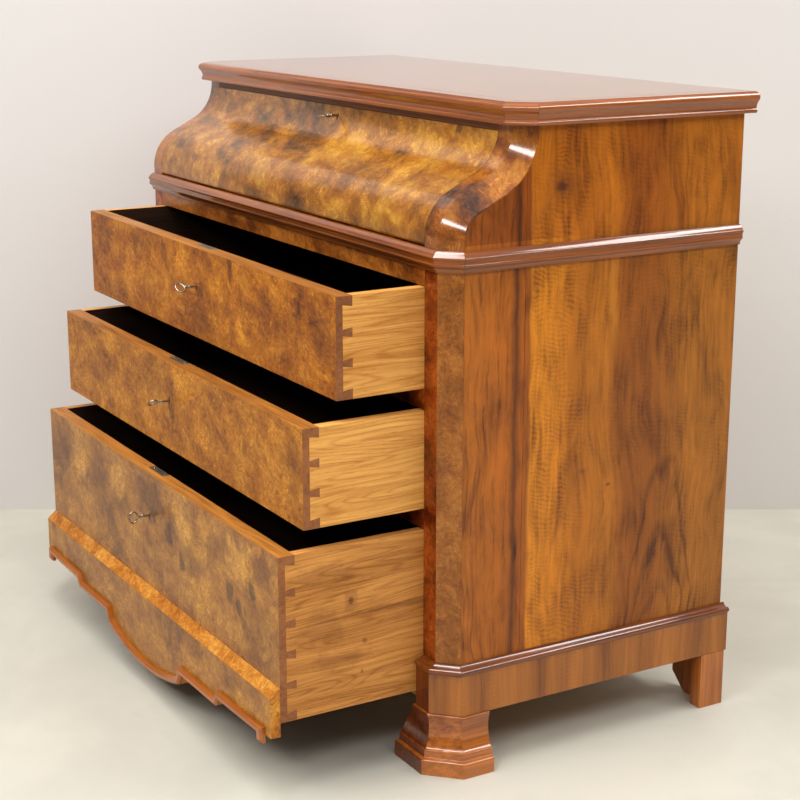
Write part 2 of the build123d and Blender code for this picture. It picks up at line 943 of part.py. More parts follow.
for name, low_z, height, opened, key_drop, key_angle, tail_count in drawers:
    face_y = front_y - opened
    inner_face_y = face_y + front_thickness
    rear_y = face_y + drawer_length
    top_z = low_z + height
    key_z = top_z - key_drop
    panel_z = low_z + drawer_bottom_rise
    panel_top_z = panel_z + drawer_bottom_thickness
    half_panel = half_drawer - drawer_side_thickness + drawer_groove

    with BuildPart() as drawer_bottom:
        board((-half_panel, inner_face_y - drawer_groove, panel_z), (half_panel, rear_y, panel_top_z))
    save(drawer_bottom, f"{name}_drawer_bottom")

    case_y = inner_face_y - lock_thickness
    with BuildPart() as lock:
        board(
            (-lock_width / 2, case_y, top_z - lock_height),
            (lock_width / 2, inner_face_y, top_z),
        )
        board(
            (-lock_width / 2, inner_face_y - selvage_depth, top_z - selvage_thickness),
            (lock_width / 2, inner_face_y, top_z),
        )
        lock_body = lock.part
        cavity_top_z = key_z + bit_reach + keyhole_gap
        lock_cavity(case_y, inner_face_y - lock_wall, key_z, cavity_top_z)
        bolt_centre_y = face_y + bolt_y
        bolt_foot_z = key_z + bolt_foot_rise
        board(
            (
                -bolt_width / 2 - bolt_gap,
                bolt_centre_y - bolt_thickness / 2 - bolt_gap,
                bolt_foot_z - bolt_gap,
            ),
            (
                bolt_width / 2 + bolt_gap,
                bolt_centre_y + bolt_thickness / 2 + bolt_gap,
                top_z,
            ),
            mode=Mode.SUBTRACT,
        )
    save(lock, f"{name}_lock")

    with BuildPart() as bolt:
        board(
            (-bolt_width / 2, bolt_centre_y - bolt_thickness / 2, bolt_foot_z),
            (bolt_width / 2, bolt_centre_y + bolt_thickness / 2, top_z),
        )
    save(bolt, f"{name}_bolt")

    with BuildPart() as key:
        tip_y = inner_face_y - lock_wall - key_tip_gap
        add(key_part(tip_y, face_y, key_z, key_angle))
    save(key, f"{name}_key")

    with BuildPart() as drawer_front:
        board((-half_drawer, face_y, low_z), (half_drawer, inner_face_y, top_z))
        cut_tails(inner_face_y, face_y + dovetail_lap, low_z, top_z, tail_count)
        add(drawer_bottom.part, mode=Mode.SUBTRACT)
        add(lock_body, mode=Mode.SUBTRACT)
        extrude(keyhole_face(face_y, key_z), amount=-front_thickness, mode=Mode.SUBTRACT)
    save(drawer_front, f"{name}_drawer_front")

    with BuildPart() as drawer_back:
        back_low_z = panel_top_z
        back_high_z = top_z - drawer_back_drop
        board(
            (-half_drawer, rear_y - drawer_back_thickness, back_low_z),
            (half_drawer, rear_y, back_high_z),
        )
        cut_tails(rear_y - drawer_back_thickness, rear_y, back_low_z, back_high_z, tail_count)
    save(drawer_back, f"{name}_drawer_back")

    with BuildPart() as drawer_sides:
        for side in (-1, 1):
            board(
                (side * (half_drawer - drawer_side_thickness), face_y + dovetail_lap, low_z),
                (side * half_drawer, rear_y, top_z),
            )
        add(drawer_front.part, mode=Mode.SUBTRACT)
        add(drawer_back.part, mode=Mode.SUBTRACT)
        add(drawer_bottom.part, mode=Mode.SUBTRACT)
    save(drawer_sides, f"{name}_drawer_sides")


# Apron: a scalloped skirt on the lowest drawer, bevelled on top, with a bead below
apron_y = front_y - lower_open
apron_top_z = apron_lift + apron_height
apron_front_y = apron_y - apron_thickness


def apron_face(y):
    """The apron seen from the front, on the upright plane at this depth."""
    plane = Plane(origin=(0, y, apron_lift), x_dir=(1, 0, 0), z_dir=(0, -1, 0))
    with BuildSketch(plane) as outline:
        with BuildLine():
            start, end = follow_shares(scallop_shares, half_drawer, apron_height)
            Polyline(end, (half_drawer, apron_height), (0, apron_height), start)
        make_face()
        mirror(about=Plane.YZ)
    return outline.sketch


with BuildPart() as apron:
    extrude(apron_face(apron_y), amount=apron_thickness)
    with BuildSketch(Plane.YZ):
        with BuildLine():
            Polyline(
                (apron_y, apron_lift - overrun),
                (apron_front_y, apron_lift - overrun),
                (apron_front_y, apron_top_z - apron_bevel),
                (apron_y, apron_top_z),
                close=True,
            )
        make_face()
    extrude(amount=half_drawer, both=True, mode=Mode.INTERSECT)
save(apron, "apron")

bead_half = half_drawer - bead_end
ear_share = scallop_shares[-1][-1][1]
ear_rise = ear_share * apron_height
with BuildPart() as apron_bead:
    with BuildSketch(
        Plane(origin=(0, apron_front_y, apron_lift), x_dir=(1, 0, 0), z_dir=(0, -1, 0))
    ) as bead_face:
        with BuildLine():
            start, end = follow_shares(scallop_shares, half_drawer, apron_height)
            Polyline(end, (half_drawer, apron_height), (0, apron_height), start)
        make_face()
        mirror(about=Plane.YZ)
        offset(amount=-bead_width, kind=Kind.INTERSECTION, mode=Mode.SUBTRACT)
        bead_reach = ear_rise + bead_width
        with Locations((0, bead_reach / 2)):
            Rectangle(2 * bead_half, bead_reach, mode=Mode.INTERSECT)
        for side in (-1, 1):
            with Locations((side * (bead_half - hook_width / 2), ear_rise)):
                Rectangle(hook_width, 2 * bead_drop)
    extrude(amount=bead_projection)
    bead_edges = apron_bead.faces().sort_by(Axis.Y)[0].edges()
    chamfer(bead_edges, length=bead_chamfer)
save(apron_bead, "apron_bead")


# Fall: an ogee panel with pivot plates let into its ends and a lock near its top edge
key_z = fall_top_z - fall_key_drop
fall_key_y = hollow_y + math.sqrt(arc_radius**2 - (hollow_z - key_z) ** 2)
fall_lock_low = (-fall_lock_width / 2, fall_lock_y, fall_top_z - fall_lock_drop)
fall_lock_back_y = fall_lock_y + fall_lock_thickness
fall_lock_top_z = fall_top_z - fall_lock_head
bolt_low_x = fall_bolt_offset - fall_bolt_width / 2
bolt_high_x = fall_bolt_offset + fall_bolt_width / 2
bolt_low_z = fall_bolt_top_z - fall_bolt_length


def fall_bolt_slot(top_z):
    """Cut the way of the fall's bolt in the piece being built."""
    board(
        (bolt_low_x - bolt_gap, fall_bolt_y - bolt_thickness / 2 - bolt_gap, bolt_low_z - bolt_gap),
        (bolt_high_x + bolt_gap, fall_bolt_y + bolt_thickness / 2 + bolt_gap, top_z),
        mode=Mode.SUBTRACT,
    )


with BuildPart() as fall_panel:
    with BuildSketch(Plane.YZ.offset(-fall_half)) as panel_face:
        with BuildLine():
            seat_z = waist_z + fall_seat_gap
            outer_start, outer_end = ogee_edge(0, seat_z, slab_z)
            inner_start, inner_end = ogee_edge(fall_thickness, seat_z, slab_z)
            Line(outer_start, inner_start)
            Line(outer_end, inner_end)
        make_face()
        with Locations((pivot_y, pivot_z)):
            Circle(swing_radius, mode=Mode.INTERSECT)
        heel = panel_face.vertices().sort_by(Axis.Y)[:2].sort_by(Axis.X)[0]
        fillet(heel, radius=hinge_inset)
    extrude(amount=2 * fall_half)
    for side in (-1, 1):
        end_plane = Plane.YZ.offset(side * fall_half)
        extrude(hinge_plate_face(end_plane), amount=-side * plate_thickness, mode=Mode.SUBTRACT)
        bore = pivot_face(end_plane, pivot_radius + pivot_gap)
        extrude(bore, amount=-side * pivot_length, mode=Mode.SUBTRACT)
    board(
        fall_lock_low,
        (fall_lock_width / 2, fall_lock_y + ogee_setback, fall_lock_top_z),
        mode=Mode.SUBTRACT,
    )
    extrude(keyhole_face(fall_lock_y, key_z), amount=fall_thickness, mode=Mode.SUBTRACT)
    fall_bolt_slot(fall_top_z)
save(fall_panel, "fall_panel")

with BuildPart() as fall_hinge_plates:
    for side in (-1, 1):
        end_plane = Plane.YZ.offset(side * fall_half)
        extrude(hinge_plate_face(end_plane), amount=-side * plate_thickness)
        bore = pivot_face(end_plane, pivot_radius + pivot_gap)
        extrude(bore, amount=-side * plate_thickness, mode=Mode.SUBTRACT)
save(fall_hinge_plates, "fall_hinge_plates")

with BuildPart() as fall_lock:
    board(fall_lock_low, (fall_lock_width / 2, fall_lock_back_y, fall_lock_top_z))
    fall_bolt_slot(fall_lock_top_z)
    roof_z = key_z + key_radius + keyhole_gap
    lock_cavity(fall_lock_y, fall_lock_back_y - fall_lock_wall, key_z, roof_z)
save(fall_lock, "fall_lock")

with BuildPart() as fall_bolt:
    board(
        (bolt_low_x, fall_bolt_y - bolt_thickness / 2, bolt_low_z),
        (bolt_high_x, fall_bolt_y + bolt_thickness / 2, fall_bolt_top_z),
    )
save(fall_bolt, "fall_bolt")

with BuildPart() as fall_key:
    tip_y = fall_lock_back_y - fall_lock_wall - key_tip_gap
    add(key_part(tip_y, fall_key_y, key_z, fall_key_angle))
save(fall_key, "fall_key")
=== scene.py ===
# Fall-front commode with three long drawers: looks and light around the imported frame.
import json
import math
import random
import bmesh
import bpy
from mathutils import Matrix, Vector


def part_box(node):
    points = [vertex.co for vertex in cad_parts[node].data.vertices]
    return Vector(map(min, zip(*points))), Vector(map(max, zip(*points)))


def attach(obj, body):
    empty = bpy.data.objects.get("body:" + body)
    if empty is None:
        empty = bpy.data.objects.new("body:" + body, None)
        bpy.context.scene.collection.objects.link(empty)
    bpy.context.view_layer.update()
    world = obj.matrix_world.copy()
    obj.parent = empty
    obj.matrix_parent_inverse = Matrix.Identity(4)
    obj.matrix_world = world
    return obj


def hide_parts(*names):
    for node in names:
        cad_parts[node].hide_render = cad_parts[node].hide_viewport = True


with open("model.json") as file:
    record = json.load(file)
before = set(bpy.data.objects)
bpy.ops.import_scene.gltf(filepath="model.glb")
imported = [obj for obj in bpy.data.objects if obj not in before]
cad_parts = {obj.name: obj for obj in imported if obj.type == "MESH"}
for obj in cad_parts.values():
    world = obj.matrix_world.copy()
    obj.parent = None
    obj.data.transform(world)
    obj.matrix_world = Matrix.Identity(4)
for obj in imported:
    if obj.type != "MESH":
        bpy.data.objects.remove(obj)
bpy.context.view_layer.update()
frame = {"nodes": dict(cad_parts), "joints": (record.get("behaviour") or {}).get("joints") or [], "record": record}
nodes = frame["nodes"]
record = frame["record"]
scene = bpy.context.scene
bodyOf = {
    node: body for body, members in record["behaviour"]["bodies"].items() for node in members
}

# Camera: the photograph's viewpoint, low and to the right of the open drawers
viewpoint = {
    "place": (2.6856, -1.6019, 1.2643),
    "forward": (-0.83467, 0.48977, -0.25190),
    "focalLength": 77.44,
    "sensor": 36.0,
}


def linkObject(name, data):
    made = bpy.data.objects.new(name, data)
    scene.collection.objects.link(made)
    return made


camera = linkObject("camera", bpy.data.cameras.new("camera"))
camera.data.lens = viewpoint["focalLength"]
camera.data.sensor_width = viewpoint["sensor"]
camera.data.sensor_fit = "HORIZONTAL"
camera.location = viewpoint["place"]
camera.rotation_euler = Vector(viewpoint["forward"]).to_track_quat("-Z", "Y").to_euler()
scene.camera = camera
scene.view_settings.view_transform = "Standard"
print("camera placed")


# Short ways to lay nodes and join them; a kind without "Node" in its name is a shader node
def addNode(tree, kind, inputs=None, **settings):
    made = tree.nodes.new(kind if "Node" in kind else "ShaderNode" + kind)
    for name, value in settings.items():
        setattr(made, name, value)
    for name, value in (inputs or {}).items():
        if isinstance(value, bpy.types.NodeSocket):
            tree.links.new(value, made.inputs[name])
        else:
            made.inputs[name].default_value = value
    return made


def noise(tree, vector, scale, detail, roughness=0.5, distortion=0.0, output="Fac"):
    made = addNode(tree, "TexNoise", {
        "Vector": vector, "Scale": scale, "Detail": detail,
        "Roughness": roughness, "Distortion": distortion,
    })
    return made.outputs[output]


def calculate(tree, operation, first, second=0.0, third=0.0, clamp=False):
    inputs = {0: first, 1: second, 2: third}
    return addNode(tree, "Math", inputs, operation=operation, use_clamp=clamp).outputs[0]


def multiply(tree, first, second, clamp=False):
    return calculate(tree, "MULTIPLY", first, second, clamp=clamp)


def centred(tree, value, amount):
    return calculate(tree, "MULTIPLY_ADD", value, amount, -0.5 * amount)


def total(tree, first, *rest):
    for value in rest:
        first = calculate(tree, "ADD", first, value)
    return first


def vectorMath(tree, operation, first, second):
    return addNode(tree, "VectorMath", {0: first, 1: second}, operation=operation).outputs[0]


def spread(tree, value, low, high, newLow=0.0, newHigh=1.0, kind="SMOOTHSTEP"):
    made = addNode(tree, "MapRange", {
        "Value": value, "From Min": low, "From Max": high, "To Min": newLow, "To Max": newHigh,
    }, interpolation_type=kind)
    return made.outputs["Result"]


def mixColour(tree, factor, first, second, blend="MIX"):
    made = addNode(tree, "Mix", {0: factor, 6: first, 7: second}, data_type="RGBA", blend_type=blend)
    return made.outputs[2]


def ramp(tree, factor, stops):
    made = addNode(tree, "ValToRGB", {"Fac": factor})
    elements = made.color_ramp.elements
    while len(elements) < len(stops):
        elements.new(0.5)
    for element, (position, colour) in zip(elements, stops):
        element.position = position
        element.color = colour
    return made.outputs["Color"]


def stretch(tree, vector, scale, turn=0.0):
    inputs = {"Vector": vector, "Rotation": (0, 0, turn)}
    turned = addNode(tree, "VectorRotate", inputs, rotation_type="EULER_XYZ")
    return vectorMath(tree, "MULTIPLY", turned.outputs[0], scale)


def layer(tree, vector, scale, detail, roughness=0.5, distortion=0.0, turn=0.0, output="Fac"):
    return noise(tree, stretch(tree, vector, scale, turn), 1.0, detail, roughness, distortion, output)


def newGroup(name, inputs, outputs):
    group = bpy.data.node_groups.new(name, "ShaderNodeTree")
    for label, value in inputs.items():
        kind = "NodeSocketVector" if value is None else (
            "NodeSocketColor" if isinstance(value, tuple) else "NodeSocketFloat")
        socket = group.interface.new_socket(label, in_out="INPUT", socket_type=kind)
        if value is not None:
            socket.default_value = value
    for label, kind in outputs.items():
        group.interface.new_socket(label, in_out="OUTPUT", socket_type="NodeSocket" + kind)
    return group, group.nodes.new("NodeGroupInput").outputs, group.nodes.new("NodeGroupOutput").inputs


# A screen colour, 0 to 255, as the linear colour that a socket takes
def shade(red, green, blue):
    return (*(((value / 255 + 0.055) / 1.055) ** 2.4 for value in (red, green, blue)), 1)


# How far a point is from the middle of an oval mark, where 1 is the mark's rim
def ovalDistance(tree, place, centre, size):
    moved = vectorMath(tree, "SUBTRACT", place, (*centre, 0))
    scaled = vectorMath(tree, "MULTIPLY", moved, (1 / size[0], 1 / size[1], 0))
    return addNode(tree, "VectorMath", {0: scaled}, operation="LENGTH").outputs["Value"]


# Bends the place that a figure is read at, broadly and finely
def curl(tree, place, broad, fine):
    bends = []
    for scale, amount in ((7.0, broad), (36.0, fine)):
        sway = vectorMath(tree, "SUBTRACT", noise(tree, place, scale, 2.0, output="Color"), (0.5, 0.5, 0.5))
        bends.append(vectorMath(tree, "MULTIPLY", sway, (amount, amount, amount)))
    return vectorMath(tree, "ADD", place, vectorMath(tree, "ADD", *bends))


# Burr figure: mottled clouds, upright feathers, curled lines, dark eyes and short fissures.
# The vector's X runs across the piece and its Y up it.
burrLayers = {  # stretch, detail, roughness, distortion and turn of each noise
    "mottle": ((19.0, 27.0, 24.0), 5.0, 0.60, 0.3, 0.3),
    "grit": ((105.0, 150.0, 130.0), 4.0, 0.62, 0.5, 0.2),
    "clouds": ((5.5, 8.0, 7.0), 3.0, 0.55, 0.1, 0.35),
    "feather": ((150.0, 58.0, 150.0), 3.0, 0.55, 0.0, 0.25),
    "curls": ((15.0, 18.0, 17.0), 3.0, 0.55, 0.8),
    "plum": ((9.0, 10.0, 10.0), 6.0, 0.64, 0.4, 0.5),
    "fissure": ((85.0, 34.0, 80.0), 3.0, 0.6, 0.8, 0.2),
}
goldLayer = ((9.0, 8.0, 9.0), 6.0, 0.64, 0.4)
goldShift = (3.7, 1.9, 0.8)  # so that the gold clouds don't lie where the plum ones do
burrWeights = {"mottle": 1.15, "grit": 1.15, "clouds": 0.9, "feather": 0.4}
burrTints = {"plum": (0.42, 0.68, (0.52, 0.46, 0.62, 1)), "gold": (0.44, 0.72, (1.28, 1.38, 1.0, 1))}


def makeBurrGroup():
    group, given, result = newGroup(
        "burrFigure",
        {
            "Vector": None, "Seed": 0.0, "Mottle": 1.0, "Grit": 1.0, "Clouds": 1.0, "Feather": 1.0,
            "Plum": 0.5, "Gold": 0.5, "Eyes": 0.5, "Dark": (0.1, 0.04, 0.01, 1),
            "Middle": (0.35, 0.14, 0.03, 1), "Light": (0.55, 0.28, 0.08, 1),
        },
        {"Color": "Color", "Height": "Float"},
    )
    offset = addNode(group, "CombineXYZ", {axis: given["Seed"] for axis in range(3)}).outputs[0]
    place = vectorMath(group, "ADD", given["Vector"], offset)
    layers = {name: layer(group, place, *row) for name, row in burrLayers.items()}
    layers["gold"] = layer(group, vectorMath(group, "ADD", place, goldShift), *goldLayer)
    curls = calculate(group, "PINGPONG", multiply(group, layers["curls"], 15.0), 0.5)
    curls = multiply(group, spread(group, curls, 0.41, 0.5), spread(group, layers["mottle"], 0.40, 0.56))
    weighted = [
        multiply(group, centred(group, layers[name], weight), given[name.title()])
        for name, weight in burrWeights.items()
    ]
    tone = total(group, *weighted, multiply(group, curls, 0.36), 0.45)
    colour = mixColour(group, spread(group, tone, 0.05, 0.5, kind="LINEAR"), given["Dark"], given["Middle"])
    colour = mixColour(group, spread(group, tone, 0.5, 0.98, kind="LINEAR"), colour, given["Light"])
    for name, (low, high, tint) in burrTints.items():
        share = multiply(group, spread(group, layers[name], low, high), given[name.title()])
        colour = mixColour(group, share, colour, tint, "MULTIPLY")
    eyes = addNode(group, "TexVoronoi", {
        "Vector": stretch(group, place, (30.0, 27.0, 30.0)), "Scale": 1.0,
    }, feature="F1").outputs
    chance = addNode(group, "SeparateColor", {0: eyes["Color"]}).outputs[0]
    chosen = spread(group, chance, 0.74, 0.80)
    pip = multiply(group, spread(group, eyes["Distance"], 0.24, 0.05), chosen)
    rim = multiply(group, spread(group, eyes["Distance"], 0.5, 0.28), chosen)
    rim = multiply(group, rim, multiply(group, given["Eyes"], 0.35))
    colour = mixColour(group, rim, colour, given["Light"])
    fissure = spread(group, layers["fissure"], 0.66, 0.74)
    dark = multiply(group, calculate(group, "MAXIMUM", pip, fissure), given["Eyes"], clamp=True)
    colour = mixColour(group, multiply(group, dark, 0.75), colour, (0.30, 0.24, 0.24, 1), "MULTIPLY")
    relief = calculate(group, "SUBTRACT", multiply(group, layers["feather"], 0.5), multiply(group, dark, 0.5))
    group.links.new(colour, result["Color"])
    group.links.new(relief, result["Height"])
    return group


# Long grain: broad bands, narrow streaks, ripple across the grain and short dark pores.
# The vector's X runs along the grain.
grainLayers = {  # stretch, detail, roughness and distortion of each noise
    "bands": ((1.1, 17.0, 17.0), 3.0, 0.55, 0.3),
    "streaks": ((5.0, 150.0, 150.0), 4.0, 0.6),
    "rings": ((1.4, 24.0, 24.0), 1.0),
    "pores": ((55.0, 900.0, 900.0), 1.0),
    "rippleWarp": ((10.0, 30.0, 30.0), 2.0),
    "ripplePatches": ((3.0, 14.0, 14.0), 1.0),
}


def makeGrainGroup():
    group, given, result = newGroup(
        "longGrain",
        {
            "Vector": None, "Tone": 0.0, "Bands": 0.5, "Streaks": 0.5, "Lines": 0.0, "Ripple": 0.0,
            "Pores": 0.5, "Light": (0.5, 0.25, 0.08, 1), "Dark": (0.16, 0.06, 0.02, 1),
        },
        {"Color": "Color", "Height": "Float"},
    )
    sway = layer(group, given["Vector"], (2.2, 5.0, 5.0), 2.0, output="Color")
    place = vectorMath(group, "ADD", given["Vector"], vectorMath(group, "MULTIPLY", sway, (0.0, 0.05, 0.05)))
    layers = {name: layer(group, place, *row) for name, row in grainLayers.items()}
    rings = calculate(group, "PINGPONG", multiply(group, layers["rings"], 22.0), 0.5)
    along = addNode(group, "SeparateXYZ", {0: place}).outputs[0]
    wave = total(group, multiply(group, along, 760.0), multiply(group, layers["rippleWarp"], 26.0))
    rippleMask = multiply(group, spread(group, layers["ripplePatches"], 0.42, 0.62), given["Ripple"])
    ripple = multiply(group, calculate(group, "SINE", wave), rippleMask)
    pores = multiply(group, spread(group, layers["pores"], 0.36, 0.26), multiply(group, given["Pores"], 0.4))
    tone = total(
        group,
        multiply(group, centred(group, layers["bands"], 2.6), given["Bands"]),
        multiply(group, centred(group, layers["streaks"], 1.5), given["Streaks"]),
        multiply(group, ripple, 0.14),
        multiply(group, given["Tone"], 0.12),
        multiply(group, multiply(group, spread(group, rings, 0.24, 0.5), given["Lines"]), -0.45),
        0.5,
    )
    tone = calculate(group, "SUBTRACT", tone, pores, clamp=True)
    group.links.new(mixColour(group, tone, given["Dark"], given["Light"]), result["Color"])
    group.links.new(tone, result["Height"])
    return group


# Tarnish that dulls the metal in clouds, with a mask of where it lies, and fine scratches
def makeTarnishGroup():
    group, given, result = newGroup(
        "tarnish",
        {"Vector": None, "Bright": (0.3, 0.28, 0.24, 1), "Dull": (0.14, 0.12, 0.1, 1)},
        {"Color": "Color", "Mask": "Float", "Height": "Float"},
    )
    clouds = spread(group, noise(group, given["Vector"], 190.0, 5.0, 0.65), 0.38, 0.66)
    scratches = layer(group, given["Vector"], (900.0, 260.0, 420.0), 3.0)
    group.links.new(mixColour(group, clouds, given["Bright"], given["Dull"]), result["Color"])
    group.links.new(clouds, result["Mask"])
    group.links.new(scratches, result["Height"])
    return group


burrGroup = makeBurrGroup()
grainGroup = makeGrainGroup()
tarnishGroup = makeTarnishGroup()


def newMaterial(name, **values):
    material = bpy.data.materials.new(name)
    material.use_nodes = True
    shader = material.node_tree.nodes["Principled BSDF"]
    for socket, value in values.items():
        shader.inputs[socket.replace("_", " ")].default_value = value
    return material, material.node_tree, shader


def woodMaterial(name, roughness, gloss, glossRoughness):
    return newMaterial(
        name, Roughness=roughness, Specular_IOR_Level=0.06,
        Coat_Weight=gloss, Coat_Roughness=glossRoughness, Coat_IOR=1.55,
    )


def polish(tree, shader, colour, height, bump):
    tree.links.new(colour, shader.inputs["Base Color"])
    bumped = addNode(tree, "Bump", {"Distance": bump, "Height": height})
    tree.links.new(bumped.outputs[0], shader.inputs["Normal"])


def attribute(tree, name, output="Vector"):
    return addNode(tree, "Attribute", attribute_name=name).outputs[output]


# Knots are painted over the figure; patches tint the figure under them, with ragged edges
def markKnots(tree, colour, place, knots):
    for centre, size, strength, knotColour in knots:
        mask = multiply(tree, spread(tree, ovalDistance(tree, place, centre, size), 1.0, 0.2), strength)
        colour = mixColour(tree, mask, colour, shade(*knotColour))
    return colour


def markPatches(tree, colour, place, patches):
    ragged = centred(tree, noise(tree, place, 48.0, 4.0, 0.66), 1.7)
    for centre, size, strength, tint in patches:
        reach = calculate(tree, "ADD", ovalDistance(tree, place, centre, size), ragged)
        colour = mixColour(tree, spread(tree, reach, 1.1, 0.45, 0.0, strength), colour, (*tint, 1), "MULTIPLY")
    return colour


def burrMaterial(name, dark, middle, light, figure, patches, roughness, gloss, glossRoughness):
    material, tree, shader = woodMaterial(name, roughness, gloss, glossRoughness)
    place = curl(tree, attribute(tree, "grain"), 0.06, 0.014)
    burr = addNode(tree, "Group", {
        "Vector": place, "Dark": shade(*dark), "Middle": shade(*middle), "Light": shade(*light),
        **dict(zip(figureInputs, burrFigures[figure])),
    }, node_tree=burrGroup).outputs
    polish(tree, shader, markPatches(tree, burr["Color"], place, patches), burr["Height"], 0.0003)
    return material


def grainMaterial(name, light, dark, amounts, roughness, gloss, glossRoughness, bump=0.0003, patches=()):
    material, tree, shader = woodMaterial(name, roughness, gloss, glossRoughness)
    place = attribute(tree, "grain")
    grain = addNode(tree, "Group", {
        "Vector": place, "Tone": attribute(tree, "tone", "Fac"), "Light": shade(*light), "Dark": shade(*dark),
        **dict(zip(grainInputs, amounts)),
    }, node_tree=grainGroup).outputs
    polish(tree, shader, markPatches(tree, grain["Color"], place, patches), grain["Height"], bump)
    return material


def metalMaterial(name, bright, dull, roughness):
    material, tree, shader = newMaterial(name, Metallic=1.0, Roughness=roughness)
    place = addNode(tree, "TexCoord").outputs["Object"]
    tarnish = addNode(tree, "Group", {
        "Vector": place, "Bright": shade(*bright), "Dull": shade(*dull),
    }, node_tree=tarnishGroup).outputs
    polish(tree, shader, tarnish["Color"], tarnish["Height"], 0.00005)
    worn = spread(tree, tarnish["Mask"], 0.0, 1.0, roughness, roughness + 0.25)
    tree.links.new(worn, shader.inputs["Roughness"])
    return material


# Side veneer: each stripe lies where it does on the real panel. The vector's X runs up it
# and its Y from front to back, both in metres.
sideFigure = {
    "from": -0.279, "to": 0.279,
    "stripes": [
        (-0.262, (150, 80, 18)), (-0.235, (170, 96, 26)), (-0.165, (160, 86, 18)), (-0.1545, (96, 46, 12)),
        (-0.1525, (116, 60, 14)), (-0.145, (156, 82, 18)), (-0.129, (150, 80, 18)), (-0.122, (200, 122, 24)),
        (-0.070, (192, 114, 22)), (-0.034, (164, 94, 18)), (0.030, (170, 100, 22)), (0.060, (140, 76, 16)),
        (0.120, (138, 76, 18)), (0.185, (160, 96, 24)), (0.262, (154, 92, 24)),
    ],
    "seam": -0.153,
    # the side above the waist is painted darker as shade, most at the front, and more orange
    "upperFrom": 0.845, "upperShadeFront": (0.68, 0.58, 0.46, 1), "upperRear": (1.12, 1.02, 0.80, 1),
    "knots": [
        ((0.352, -0.151), (0.020, 0.0055), 0.85, (58, 28, 14)),
        ((0.434, 0.028), (0.0045, 0.008), 0.7, (78, 42, 22)),
        ((0.735, 0.032), (0.110, 0.014), 0.6, (196, 122, 36)),
        ((0.466, -0.020), (0.006, 0.014), 0.35, (90, 50, 26)),
        ((0.922, -0.078), (0.010, 0.016), 0.9, (52, 26, 14)),
        ((0.925, -0.074), (0.028, 0.040), 0.35, (110, 58, 26)),
    ],
    "archTop": 0.505, "archMiddle": 0.140, "archWidth": 0.050, "archLines": 9.0,
    "bars": 860.0, "barSlant": 170.0, "barWarp": 30.0, "stileLines": 58.0,
    "shadow": (0.36, 0.28, 0.24, 1), "glow": (1.35, 1.32, 1.25, 1),
}


